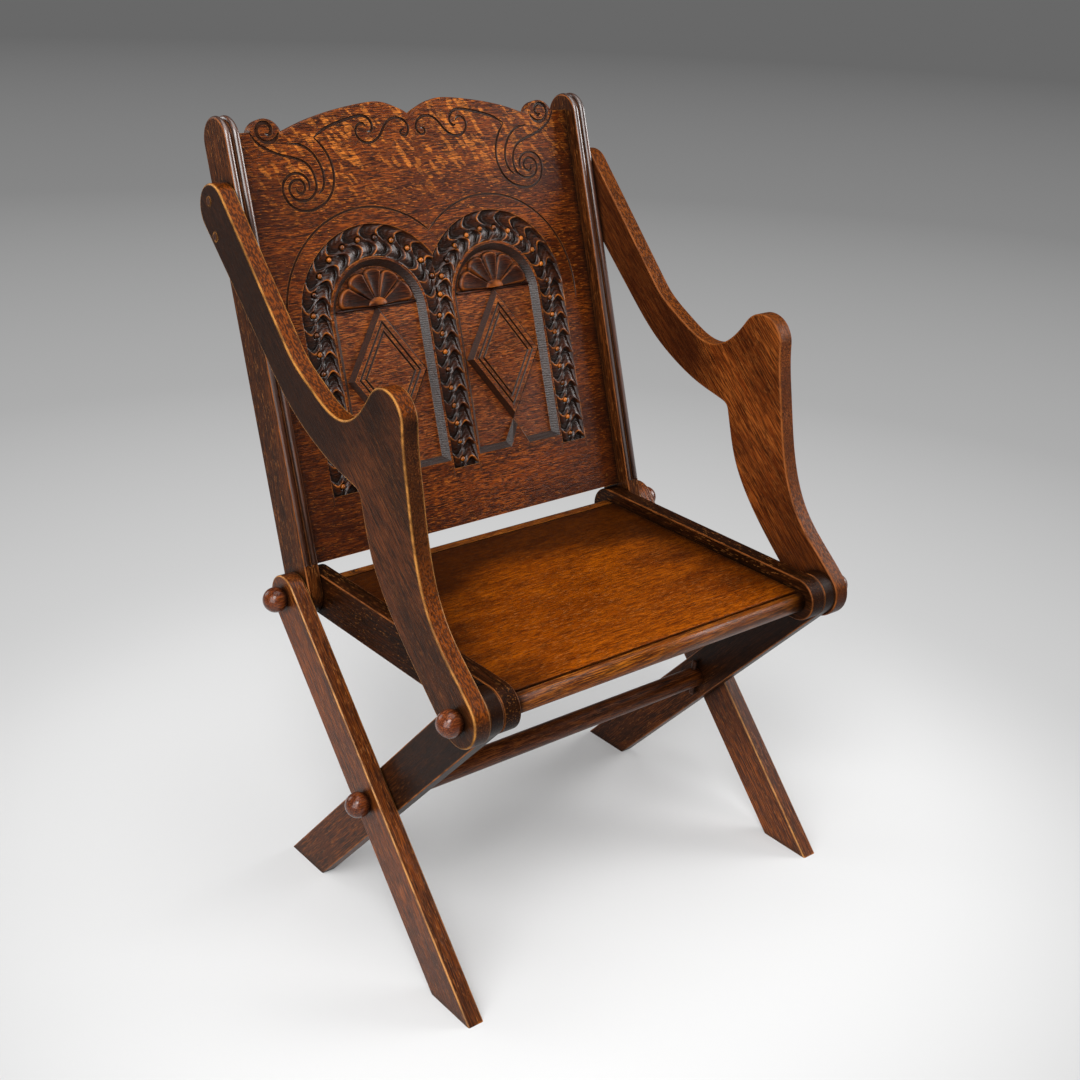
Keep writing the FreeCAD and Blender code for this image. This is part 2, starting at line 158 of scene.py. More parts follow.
class Step(Enum):
    """How a cover grows between its two ends."""

    SMOOTH = "SMOOTHSTEP"
    STRAIGHT = "LINEAR"


@dataclass(frozen=True)
class Mask:
    """A value that is read as a cover: least where it is at low, and full where it is at high.

    Noise lies about 0.5, so the two ends of a mask over noise lie near that.
    """

    value: NodeSocket
    low: float = 0.0
    high: float = 1.0
    least: float = 0.0
    step: Step = Step.SMOOTH


@dataclass(frozen=True)
class Tint:
    """A colour laid over the wood at a strength, where all its masks cover."""

    colour: str
    strength: float
    masks: tuple[Mask, ...]


@dataclass(frozen=True)
class Streak:
    """Noise drawn out along the fibres: its width and length, its octaves and its twist."""

    width: float
    length: float
    detail: float = 3.0
    twist: float = 0.0


@dataclass(frozen=True)
class RayFleck:
    """Cells that lean off the fibres: size, lean, the draw above which one shows, and how much of it."""

    width: float
    length: float
    lean_deg: float
    draw: float
    core: float


# Patterns of the wood by width and length. Real fine rays and lines are about 0.3 mm wide, and these are
# drawn as coarse as they need to show.
GROWTH_BANDS = Streak(9.0, 260.0, twist=0.4)
STAIN_PATCHES = Streak(60.0, 190.0, detail=2.0)
DARK_LINES = Streak(2.6, 110.0, twist=0.8)
RUBBED_SPOTS = Streak(14.0, 30.0)
HAND_MOTTLE = Streak(1.9, 6.0)
RAY_DASHES = RayFleck(1.5, 10.0, 5.0, 0.70, 0.55)
RAY_FLAKES = RayFleck(5.0, 24.0, 52.0, 0.72, 1.1)
PORE_EDGE = (0.50, 0.56)


@dataclass(frozen=True)
class OakSpace:
    """Where a material is drawn: how nodes are added, and coordinates by the object and by the fibres."""

    add: Callable[..., Node]
    place: NodeSocket
    normal: NodeSocket
    fibre: NodeSocket
    wander: float = 6.25
    wander_reach: float = 4.0
    noise_rough: float = 0.6
    draw_soft: float = 0.06

    def drawn_out(self, vector: NodeSocket, size: Streak | RayFleck) -> NodeSocket:
        """Scale coordinates by a pattern's width and length."""
        scale = [1 / (length * MM) for length in (size.width, size.length, size.width)]
        return self.add("Mapping", {"Vector": vector, "Scale": scale}).outputs["Vector"]

    def streaks(self, streak: Streak) -> NodeSocket:
        """Draw noise out along the fibres.

        Args:
            streak: Its size and kind.

        Returns:
            The noise, about 0.5.
        """
        return self.add("TexNoise", {
            "Vector": self.drawn_out(self.fibre, streak), "Scale": 1.0, "Detail": streak.detail,
            "Roughness": self.noise_rough, "Distortion": streak.twist}).outputs["Fac"]

    def flecks(self, ray: RayFleck) -> tuple[Mask, Mask]:
        """Draw ray flecks: a share of long cells that lean a little off the fibres, kept to their core.

        Args:
            ray: Their size and share.

        Returns:
            The mask of the cells that show and the mask of their core.
        """
        bent = self.add("TexNoise", {
            "Vector": self.place, "Scale": 1 / (self.wander * MM), "Detail": 2.0}).outputs["Color"]
        reach = (self.wander_reach * MM,) * 3
        strayed = self.add("VectorMath", {
            0: bent, 1: reach, 2: self.fibre}, operation="MULTIPLY_ADD").outputs["Vector"]
        leant = self.add("Mapping", {
            "Vector": strayed, "Rotation": (math.radians(ray.lean_deg), 0, 0)}).outputs["Vector"]
        cells = self.add("TexVoronoi", {
            "Vector": self.drawn_out(leant, ray), "Scale": 1.0}).outputs
        drawn = self.add("SeparateColor", {"Color": cells["Color"]}).outputs["Red"]
        shown = Mask(drawn, ray.draw, ray.draw + self.draw_soft)
        return shown, Mask(cells["Distance"], ray.core, 0.5 * ray.core)


@dataclass(frozen=True)
class ReachDarkening:
    """A darker colour laid beyond a reach round a centre, with a ragged edge; each use says what it stands
    for.
    """

    centre: Triple
    reach: Triple
    beyond_colour: str
    strength: float
    ragged: float = 0.7


@dataclass(frozen=True)
class WaxedOak:
    """Stained and waxed oak, sawn, planed and rubbed.

    It gives the eye dark open pores, streaky growth bands, paler ray flecks, black wax with painted shade in
    the hollows, and golden wood where hands and cloths have worn the arrises. Strengths run from 0 to 1. The
    flaky figure sets in between two heights, and tool_mm is the spacing of chisel strokes.
    """

    name: str
    dark: str
    mid: str
    light: str
    grain: Grain = Grain.ACROSS
    worn: str = "#b8702a"
    ray: str = "#c47c3e"
    soot_and_shade: str = "#0d0603"
    pore: float = 0.6
    fleck: float = 0.25
    figure: Point | None = None
    carving: bool = False
    tool_mm: float = 0.0
    bump: float = 0.3
    wear: float = 0.6
    wear_mm: float = 2.6
    arris: str | None = None
    rubbed_top: str | None = None
    rub_forward: float = -0.5
    reach_darkening: ReachDarkening | None = None
    # Width and length of the grain. Real pores are about 0.3 mm wide and would not show.
    grain_mm: Point = (1.3, 40.0)
    hollow_mm: float = 14.0
    hollow: float = 0.8
    roughness: float = 0.36
    smoother: float = 0.08
    rougher: float = 0.14
    sheen: float = 0.18
    coat: float = 0.06
    coat_rough: float = 0.18
    ior: float = 1.5
    pore_depth: float = 0.35
    tool_depth: float = 0.5

    def wood_tints(self, space: OakSpace, fine: NodeSocket, pores: NodeSocket) -> list[Tint]:
        """Lay out the figure of the wood, from growth bands to pores, and the old wax on it.

        Args:
            space: Where the material is drawn.
            fine: The noise of the fine grain.
            pores: The noise of the pores.

        Returns:
            The tints in the order in which they are laid.
        """
        bands = space.streaks(GROWTH_BANDS)
        patches = space.streaks(STAIN_PATCHES)
        lines = space.streaks(DARK_LINES)
        tints = [
            Tint(self.mid, 1.0, (Mask(bands, 0.30, 0.70),)),
            Tint(self.light, 0.75, (Mask(fine, 0.43, 0.60),)),
            Tint(self.dark, 0.6, (Mask(patches, 0.40, 0.66),)),
        ]
        if self.fleck:
            tints.append(Tint(self.ray, self.fleck, (*space.flecks(RAY_DASHES), Mask(patches, 0.30, 0.55))))
        if self.figure:
            height = space.add("SeparateXYZ", {"Vector": space.place}).outputs["Z"]
            above = Mask(height, self.figure[0] * MM, self.figure[1] * MM)
            streaky = Mask(fine, 0.40, 0.60, least=0.35)
            tints.append(Tint(self.ray, 1.6 * self.fleck, (*space.flecks(RAY_FLAKES), streaky, above)))
        tints.append(Tint(self.dark, 0.45, (Mask(lines, 0.55, 0.61),)))
        tints.append(Tint(self.soot_and_shade, self.pore, (Mask(pores, *PORE_EDGE),)))
        # Darker beyond a reach round a centre: painted shade on some pieces, as each use says.
        if self.reach_darkening:
            near = space.add("Mapping", {
                "Vector": space.place, "Location": tuple(c * MM for c in self.reach_darkening.centre),
                "Scale": tuple(r * MM for r in self.reach_darkening.reach)}, vector_type="TEXTURE").outputs["Vector"]
            away = space.add("VectorMath", {0: near}, operation="LENGTH").outputs["Value"]
            edge = space.add("Math", {
                0: patches, 1: self.reach_darkening.ragged, 2: away}, operation="MULTIPLY_ADD").outputs[0]
            tints.append(Tint(self.reach_darkening.beyond_colour, self.reach_darkening.strength, (Mask(edge, 0.95, 1.5),)))
        return tints

    def wear_tints(self, space: OakSpace) -> list[Tint]:
        """Lay out what use has done, with painted shade: worn arrises, a rubbed top, and dirt and painted
        shade in the hollows.

        Args:
            space: Where the material is drawn.

        Returns:
            The tints in the order in which they are laid.
        """
        rounded = space.add("Bevel", {"Radius": self.wear_mm * MM}, samples=6).outputs["Normal"]
        sharp = space.add("NewGeometry").outputs["Normal"]
        facing = space.add("VectorMath", {0: rounded, 1: sharp}, operation="DOT_PRODUCT").outputs["Value"]
        spots = space.streaks(RUBBED_SPOTS)
        rubbed = Mask(spots, 0.36, 0.62)
        tints = [Tint(self.worn, self.wear, (Mask(facing, 0.985, 0.86), rubbed))]
        if self.rubbed_top:
            turned = space.add("SeparateXYZ", {"Vector": space.normal}).outputs
            rise = space.add("Math", {
                0: turned["Y"], 1: self.rub_forward, 2: turned["Z"]}, operation="MULTIPLY_ADD").outputs[0]
            upward = Mask(rise, 0.62, 0.95)
            mottle = Mask(space.streaks(HAND_MOTTLE), 0.45, 0.58, least=0.21)
            tints.append(Tint(self.soot_and_shade, 0.6, (upward,)))
            tints.append(Tint(self.rubbed_top, 0.95, (upward, mottle)))
        if self.arris:
            across = space.add("SeparateXYZ", {"Vector": rounded}).outputs["X"]
            sideways = space.add("Math", {0: across}, operation="ABSOLUTE").outputs[0]
            line = (Mask(sideways, 0.20, 0.55), Mask(sideways, 0.99, 0.86))
            tints.append(Tint(self.arris, 1.0, (*line, Mask(spots, 0.36, 0.62, least=0.35))))
        # Painted shade with black wax: darker where ambient occlusion finds a recess nearby.
        closed = space.add("AmbientOcclusion", {"Distance": self.hollow_mm * MM}, samples=8).outputs["AO"]
        tints.append(Tint(self.soot_and_shade, self.hollow, (Mask(closed, 0.90, 0.45),)))
        if self.carving:
            sunk = space.add("Attribute", attribute_name="hollow").outputs["Fac"]
            crest = space.add("Attribute", attribute_name="rim").outputs["Fac"]
            # Old wax and painted shade on the deep parts of a carving, by its hollow attribute.
            tints.append(Tint(self.soot_and_shade, 0.92, (Mask(sunk, step=Step.STRAIGHT),)))
            tints.append(Tint(self.worn, 0.9, (Mask(crest, step=Step.STRAIGHT), rubbed)))
        return tints

    def build(self) -> Material:
        """Make the material.

        Returns:
            The finished node material.
        """
        material = bpy.data.materials.new(self.name)
        add = blank_tree(material)
        place = add("TexCoord").outputs
        along = add("Mapping", {"Vector": place["Object"], "Rotation": self.grain.turn()})
        space = OakSpace(add, place["Object"], place["Normal"], along.outputs["Vector"])
        width, length = self.grain_mm
        fine = space.streaks(Streak(width, length, twist=0.2))
        pores = space.streaks(Streak(width, 0.5 * length, detail=2.0))
        colour: Any = linear(self.dark)
        for tint in (*self.wood_tints(space, fine, pores), *self.wear_tints(space)):
            cover: Any = tint.strength
            for mask in tint.masks:
                part = add("MapRange", {
                    "Value": mask.value, "From Min": mask.low, "From Max": mask.high, "To Min": mask.least},
                    interpolation_type=mask.step.value).outputs["Result"]
                cover = add("Math", {0: part, 1: cover}, operation="MULTIPLY", use_clamp=True).outputs[0]
            colour = add("Mix", {
                MIX_FACTOR: cover, MIX_FIRST: colour, MIX_SECOND: linear(tint.colour)},
                data_type="RGBA").outputs[MIX_RESULT]
        gloss = add("MapRange", {
            "Value": fine, "To Min": self.roughness - self.smoother,
            "To Max": self.roughness + self.rougher}).outputs["Result"]
        pits = add("MapRange", {
            "Value": pores, "From Min": PORE_EDGE[0], "From Max": PORE_EDGE[1]},
            interpolation_type=Step.SMOOTH.value).outputs["Result"]
        relief = add("Math", {0: fine, 1: pits}, operation="SUBTRACT").outputs[0]
        normal = add("Bump", {
            "Height": relief, "Strength": self.bump, "Distance": self.pore_depth * MM}).outputs["Normal"]
        if self.tool_mm:
            strokes = add("TexWave", {
                "Vector": space.place, "Scale": WAVE_SPAN / (self.tool_mm * MM), "Distortion": 3.0,
                "Detail": 1.0, "Detail Scale": 2.0}, bands_direction="Z").outputs["Fac"]
            normal = add("Bump", {
                "Height": strokes, "Strength": 0.5, "Distance": self.tool_depth * MM,
                "Normal": normal}).outputs["Normal"]
        shader = add("BsdfPrincipled", {
            "Base Color": colour, "Roughness": gloss, "Normal": normal, "IOR": self.ior,
            "Specular IOR Level": self.sheen, "Coat Weight": self.coat, "Coat Roughness": self.coat_rough})
        add("OutputMaterial", {"Surface": shader.outputs["BSDF"]})
        return material


def turned_points(centre: Point, radius: float, start: float, end: float, count: int) -> list[Point]:
    """Points on a circle between two angles.

    Args:
        centre: The circle's centre.
        radius: Its radius.
        start: First angle in degrees.
        end: Last angle in degrees.
        count: Number of steps.

    Returns:
        The points, both ends included.
    """
    angles = [math.radians(start + (end - start) * i / count) for i in range(count + 1)]
    return [(centre[0] + radius * math.cos(a), centre[1] + radius * math.sin(a)) for a in angles]


def smooth_points(points: Sequence[Point], steps: int) -> list[Point]:
    """A smooth curve through points.

    Args:
        points: The points to pass through.
        steps: Steps between two points.

    Returns:
        Points along the curve, both ends included.
    """
    knots = [Vector(point) for point in (points[0], *points, points[-1])]
    made: list[Point] = []
    for before, start, end, after in zip(knots, knots[1:], knots[2:], knots[3:]):
        handles = (start + (end - before) / 6, end - (after - start) / 6)
        made += [tuple(spot) for spot in interpolate_bezier(start, *handles, end, steps + 1)[:-1]]
    return [*made, points[-1]]


def mirrored(points: Iterable[Point]) -> list[Point]:
    """The same points on the other side of the middle, in reverse order."""
    return [(-x, t) for x, t in points][::-1]


def smoothstep(value: float, low: float, high: float) -> float:
    """A smooth step from 0 at low to 1 at high."""
    share = min(1.0, max(0.0, (value - low) / (high - low)))
    return share * share * (3 - 2 * share)


def prism(bm: BMesh, outline: Sequence[Point], low: float, high: float,
          floor: Sequence[Point] | None = None) -> BMFace:
    """A block with an outline at its top and the same or another outline at its bottom.

    Args:
        bm: The mesh that gets the block.
        outline: The outline of the top.
        low: Height of the bottom.
        high: Height of the top.
        floor: The outline of the bottom, if it differs.

    Returns:
        The top face.
    """
    top = bm.faces.new([bm.verts.new((x, t, high)) for x, t in outline])
    top.normal_update()
    if top.normal.z < 0:
        top.normal_flip()
    below = dict(zip(outline, floor or outline))
    base = bmesh.ops.extrude_face_region(bm, geom=[top], use_keep_orig=True)["geom"]
    for vert in (g for g in base if isinstance(g, BMVert)):
        nearest = min(below, key=lambda p: (p[0] - vert.co.x) ** 2 + (p[1] - vert.co.y) ** 2)
        vert.co = (*below[nearest], low)
    bmesh.ops.recalc_face_normals(bm, faces=bm.faces)
    return top


def trim(bm: BMesh, point: Triple, normal: Triple, part: Sequence[Any] | None = None) -> None:
    """Cut away what lies beyond a plane.

    Args:
        bm: The mesh.
        point: A point on the plane.
        normal: The plane's normal, towards what is cut away.
        part: Vertices, edges and faces that are cut, if not all of them.
    """
    geom = part or [*bm.verts, *bm.edges, *bm.faces]
    bmesh.ops.bisect_plane(bm, geom=geom, plane_co=point, plane_no=normal, clear_outer=True)


def cap_holes(bm: BMesh) -> list[BMEdge]:
    """Close every open rim of a mesh.

    Args:
        bm: The mesh.

    Returns:
        The edges of the rims.
    """
    rim = [e for e in bm.edges if e.is_boundary]
    bmesh.ops.holes_fill(bm, edges=rim, sides=0)
    return rim


def close_under(bm: BMesh, level: float) -> None:
    """Turn an open sheet into a solid: draw its rim down to a level and close it there.

    Args:
        bm: The mesh, with no other open rim.
        level: Height of the underside.
    """
    rim = [e for e in bm.edges if e.is_boundary]
    run = bmesh.ops.extrude_edge_only(bm, edges=rim)["geom"]
    for vert in (g for g in run if isinstance(g, BMVert)):
        vert.co.z = level
    for edge in (*rim, *cap_holes(bm)):
        edge.smooth = False


def ease_edges(bm: BMesh, edges: Sequence[BMEdge], size: float) -> None:
    """Round edges over a size, in three steps.

    Args:
        bm: The mesh.
        edges: Its edges that are rounded.
        size: How far the rounding reaches from an edge.
    """
    bmesh.ops.bevel(
        bm, geom=edges, offset=size, offset_type="OFFSET", affect="EDGES", segments=3, profile=0.5,
        material=-1)


def carve(blank: Object, tools: Sequence[Object]) -> None:
    """Cut tools out of a blank and take the tools away.

    Args:
        blank: The piece that is cut.
        tools: Closed pieces that are cut away from it.
    """
    for tool in tools:
        cut = blank.modifiers.new("cut", "BOOLEAN")
        cut.object = tool
        cut.operation = "DIFFERENCE"
        cut.solver = "EXACT"
        cut.use_self = True
        cut.material_mode = "TRANSFER"
    graph = bpy.context.evaluated_depsgraph_get()
    graph.update()
    mesh = bpy.data.meshes.new_from_object(blank.evaluated_get(graph))
    blank.modifiers.clear()
    blank.data = mesh
    for tool in tools:
        bpy.data.objects.remove(tool)


def leaning(depth: float) -> Matrix:
    """The matrix from the flat drawing in millimetres to the leaning back in metres.

    Args:
        depth: How far the flat drawing lies in front of the middle of the stiles.

    Returns:
        The matrix.
    """
    lean = math.radians(LEAN_DEG)
    out = Vector((0, -math.cos(lean), math.sin(lean)))
    up = Vector((0, math.sin(lean), math.cos(lean)))
    turn = Matrix((Vector((1, 0, 0)), up, out)).transposed().to_4x4()
    return Matrix.Translation((Vector(REAR_PIVOT) + out * depth) * MM) @ turn @ Matrix.Scale(MM, 4)


def make_object(name: str, bm: BMesh, materials: Sequence[Material], smooth: bool = False) -> Object:
    """Turn a mesh in metres into an object of the scene.

    Args:
        name: The object's name.
        bm: The mesh; it is freed.
        materials: Its materials, in the order of its slots.
        smooth: Whether its faces are shaded smooth.

    Returns:
        The object.
    """
    mesh = bpy.data.meshes.new(name)
    bm.to_mesh(mesh)
    bm.free()
    mesh.polygons.foreach_set("use_smooth", [smooth] * len(mesh.polygons))
    for material in materials:
        mesh.materials.append(material)
    made = bpy.data.objects.new(name, mesh)
    bpy.context.scene.collection.objects.link(made)
    return made


@dataclass
class Nosing:
    """The round front rail, flattened on top and stopped short of the board, so that a dark joint shows."""

    oak: Material
    radius: float = 15.0
    half_length: float = 224.0
    tenon_end: float = 265.0
    tenon_radius: float = 8.0
    land: float = 389.6
    set_back: float = 1.2
    ease: float = 1.8
    facets: int = 72
    flat_area_m2: float = 0.005

    def build(self) -> Object:
        """Build the rail and hang it on the seat.

        Returns:
            The rail.
        """
        _, y, z = FRONT_PIVOT
        back = y - self.set_back
        bm = bmesh.new()
        turn = Matrix.Rotation(QUARTER_TURN, 4, "Y")
        spans = (
            (self.radius, -self.half_length, self.half_length),
            (self.tenon_radius, -self.tenon_end, -self.half_length),
            (self.tenon_radius, self.half_length, self.tenon_end),
        )
        for radius, low, high in spans:
            spot = Matrix.Translation(((low + high) / 2, y, z)) @ turn
            bmesh.ops.create_cone(
                bm, cap_ends=True, segments=self.facets, radius1=radius, radius2=radius, depth=high - low,
                matrix=spot)
        for point, normal in (((0, 0, self.land), (0, 0, 1)), ((0, back, 0), (0, 1, 0))):
            trim(bm, point, normal)
            cap_holes(bm)
        corner = [
            e for e in bm.edges if all(v.co.z > self.land - SNAP and v.co.y > back - SNAP for v in e.verts)]
        ease_edges(bm, corner, self.ease)
        bmesh.ops.recalc_face_normals(bm, faces=bm.faces)
        bmesh.ops.scale(bm, vec=(MM, MM, MM), verts=bm.verts)
        rail = make_object("front_nosing", bm, [self.oak])
        for polygon in rail.data.polygons:
            polygon.use_smooth = abs(polygon.normal.x) < 0.5 and polygon.area < self.flat_area_m2
        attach(rail, "seat")
        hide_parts("seat_front_rail")
        return rail


@dataclass
class StileReeds:
    """The two reeds on the front edge of each stile, which run up, over its top and some way down."""

    oak: Material
    stile_middle: float = 255.5
    half_width: float = 27.0
    start: float = 34.0
    length: float = 528.7
    reed_radius: float = 3.9
    spread: float = 5.6
    stand: float = 1.2
    facets: int = 16
    wrap_deg: float = -172.0
    wrap_steps: int = 36

    def reed(self, bm: BMesh, x: float) -> None:
        """Add one reed to a flat mesh.

        Args:
            bm: The mesh that gets the reed.
            x: Its place across the chair.
        """
        reach = self.half_width - self.reed_radius + self.stand
        foot = Matrix.Translation((x, self.start, reach)) @ Matrix.Rotation(QUARTER_TURN, 4, "X")
        ring = bmesh.ops.create_circle(
            bm, cap_ends=True, segments=self.facets, radius=self.reed_radius, matrix=foot)
        edges = list({e for v in ring["verts"] for e in v.link_edges})
        run = bmesh.ops.extrude_edge_only(bm, edges=edges)["geom"]
        tops = [g for g in run if isinstance(g, BMVert)]
        bmesh.ops.translate(bm, verts=tops, vec=(0, self.length - self.start, 0))
        rim = [g for g in run if isinstance(g, BMEdge) and all(v in tops for v in g.verts)]
        bmesh.ops.spin(
            bm, geom=rim, cent=(x, self.length, 0), axis=(1, 0, 0), angle=math.radians(self.wrap_deg),
            steps=self.wrap_steps)

    def build(self) -> list[Object]:
        """Build the reeds of both stiles and hang them on the back.

        Returns:
            One object per stile.
        """
        made = []
        for name, side in (("left", -1), ("right", 1)):
            bm = bmesh.new()
            for offset in (-self.spread, self.spread):
                self.reed(bm, side * self.stile_middle + offset)
            cap_holes(bm)
            bmesh.ops.recalc_face_normals(bm, faces=bm.faces)
            bmesh.ops.transform(bm, matrix=leaning(0.0), verts=bm.verts)
            reeds = make_object(f"stile_reeds_{name}", bm, [self.oak], smooth=True)
            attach(reeds, "back")
            made.append(reeds)
        return made


@dataclass(frozen=True)
class IncisedLine:
    """A line cut with a round gouge on the panel's right half: its flat points and the gouge's radius."""

    points: Sequence[Point]
    radius: float = 1.85


SCROLLWORK = (
    # The outer volute, from the crest's dip round to its eye.
    IncisedLine((
        (141, 524), (131, 512), (124, 497), (122, 482), (125, 467), (134, 453), (149, 444), (167, 441),
        (183, 446), (192, 458), (193, 471), (186, 481), (173, 485), (162, 480.5), (157.5, 472), (159, 464))),
    # The short line beside it.
    IncisedLine((
        (176, 519), (163, 517.5), (151, 511), (142, 500), (137, 487), (136.5, 475), (140, 465),
        (147, 458.5))),
    # The inner volute, from the corner scroll.
    IncisedLine((
        (226, 538), (217, 523.5), (204, 514), (188, 507), (171, 502), (158, 496), (151, 487), (148, 475),
        (149.5, 464), (157, 456), (168, 452.7), (178, 455), (184, 462), (184.3, 470), (179, 476),
        (171, 477.3), (165, 473), (164.5, 466), (169, 462), (174.5, 463.5), (175.5, 468))),
    # The line under the crest, which ends in a hook.
    IncisedLine((
        (141, 524), (126, 532.5), (108, 538.5), (90, 542.8), (76, 545), (66, 544), (59.5, 538.5),
        (58, 531.5), (61, 526.5), (66, 526.5)), 2.035),
    # The wave in the middle.
    IncisedLine((
        (12.5, 526), (16.5, 525), (18, 521), (14, 518), (8.5, 520.5), (6, 527), (8.5, 534), (15, 538.5),
        (24, 540), (33, 537.5), (41, 530.5), (48, 521.5), (56, 515.5), (66, 513), (75, 515.5), (81, 522),
        (81.5, 529.5), (77, 535), (70.5, 536), (66.5, 532))),
    # The eye of the corner scroll.
    IncisedLine((
        (186, 533), (191, 526), (200, 522.5), (209, 525), (214.5, 533), (212.5, 541), (205, 545),
        (198, 542.5), (195.5, 536), (199, 531), (204, 532.5)), 2.6),
)


@dataclass(frozen=True)
class LeafCut:
    """The profile of overlapping leaves in a sunk band, with a bead in a socket on each leaf.

    Heights, radii and the pitch are in mm. Other values are shares of a pitch, a half width or a height.
    """

    depth: float = 6.0
    pitch: float = 23.3
    floor: float = 0.8
    crown_under: float = 0.6
    swing: float = 0.42
    foot: float = 0.08
    crown: float = 0.94
    rise_power: float = 1.6
    drop_power: float = 0.8
    turn_over: float = 0.3
    wall_start: float = 0.78
    wall_power: float = 1.5
    wall_under: float = 0.2
    vein_depth: float = 0.28
    veins: int = 4
    tip_rim: float = 0.55
    tip_edge: Point = (0.15, 0.45)
    rim_edge: Point = (0.84, 0.95)
    soot_and_shade: float = 0.95
    soot_and_shade_fall: float = 1.5
    bead_spot: Point = (-0.15, 0.43)
    bead_radius: float = 3.1
    bead_rise: float = 3.0
    bead_flat: float = 0.8
    bead_rim: float = 0.95
    socket_edge: Point = (3.2, 5.2)
    socket_floor: float = 1.6
    socket_soot_and_shade: float = 0.7

    def lip(self, share: float) -> float:
        """Find how high one leaf is along its pitch: a slow rise to its rim and a steep drop.

        Args:
            share: Place along the pitch, from 0 to 1.

        Returns:
            The height as a share of the whole.
        """
        spot = share if share > self.foot else share + 1.0
        if spot < self.crown:
            return ((spot - self.foot) / (self.crown - self.foot)) ** self.rise_power
        return 1.0 - ((spot - self.crown) / (1.0 + self.foot - self.crown)) ** self.drop_power

    def at(self, across: float, along: float, half_band: float) -> Triple:
        """Find the carving at one place of a band.

        Args:
            across: From -1 to 1 over the band.
            along: Distance along the band in leaf pitches.
            half_band: Half the band's width.

        Returns:
            Height above the sunk floor, how sunk and how much on a rim (both 0 to 1).
        """
        phase = (along - self.swing * math.sin(math.pi * across)) % 1.0
        side = min(1.0, max(0.0, 0.5 + across / self.turn_over))
        scale = (1 - side) * self.lip(phase) + side * self.lip(1.0 - phase)
        outward = max(0.0, (abs(across) - self.wall_start) / (1 - self.wall_start))
        wall = min(1.0, outward) ** self.wall_power
        vein = self.vein_depth * math.cos(2 * math.pi * self.veins * phase) * (1 - scale) * (1 - wall)
        rise = self.depth - self.floor - self.crown_under
        height = max(self.floor + rise * scale + vein, (self.depth - self.wall_under) * wall)
        tip = self.tip_rim + (1 - self.tip_rim) * smoothstep(abs(across), *self.tip_edge)
        rim = smoothstep(scale, *self.rim_edge) * (1 - wall) * tip
        # The deep parts and the bead sockets are laid darker: old wax and painted shade.
        sunk = max(0.0, self.soot_and_shade - self.soot_and_shade_fall * scale) * (1 - wall)
        off_bead = (along - self.bead_spot[1] + 0.5) % 1.0 - 0.5
        ring = math.hypot((across - self.bead_spot[0]) * half_band, off_bead * self.pitch)
        dip = 1 - smoothstep(ring, *self.socket_edge)
        height += (self.socket_floor - height) * dip
        return height, max(sunk, self.socket_soot_and_shade * dip), rim * (1 - dip)


@dataclass(frozen=True)
class PetalCut:
    """The profile of a fan of hollow petals with a half-round boss.

    Sizes are in mm. Places run from 0 at the hub to 1 at the tips, or from a petal's middle to its side.
    """

    petals: int = 5
    base: float = 320.0
    hub: float = 8.0
    crown: float = 5.9
    scoop: float = 1.9
    groove: float = 4.4
    tip_round: float = 0.15
    groove_edge: Point = (0.76, 1.0)
    tip_edge: Point = (0.7, 1.0)
    tip_shallow: float = 0.6
    groove_soot_and_shade: float = 0.95
    hub_soot_and_shade: float = 0.6
    soot_and_shade_out: Point = (0.5, 0.95)
    soot_and_shade_off: Point = (0.5, 0.8)
    ridge_rim: float = 0.55
    ridge_edge: Point = (0.66, 0.8)
    lip_rim: float = 0.8
    lip_edge: Point = (0.88, 0.97)
    last_row: float = 0.999
    boss: Triple = (14.0, 10.5, 3.8)
    boss_rise: float = 4.6
    boss_rim: float = 0.8
    boss_gap: float = 0.2
    boss_facets: int = 32
    sill: Point = (2.5, 2.2)

    def at(self, turn: float, out: float) -> tuple[float, float, float, float]:
        """Find the carving at one place of the fan.

        Args:
            turn: From 0 to 1 over the half turn of the fan.
            out: From 0 at the hub to 1 at the tips.

        Returns:
            How far the petal reaches there, height over the field, how sunk and how much on a rim.
        """
        off = abs(2 * ((turn * self.petals) % 1.0) - 1)
        tip = 1 - self.tip_round * off ** 3
        if out > self.last_row:
            return tip, 0.0, 1.0, 0.0
        groove = smoothstep(off, *self.groove_edge)
        shallow = 1 - self.tip_shallow * smoothstep(out, *self.tip_edge)
        scoop = (1 - off * off) * min(1.0, out * 2) * shallow
        # Near the hub and in the grooves the petals are laid darker: old wax and painted shade.
        hollow = (1 - smoothstep(out, *self.soot_and_shade_out)) * (1 - smoothstep(off, *self.soot_and_shade_off))
        ridge = self.ridge_rim * smoothstep(off, *self.ridge_edge)
        rim = max(ridge, self.lip_rim * smoothstep(out, *self.lip_edge))
        height = self.crown - self.scoop * scoop - self.groove * groove
        return tip, height, max(self.groove_soot_and_shade * groove, self.hub_soot_and_shade * hollow), (1 - groove) * rim


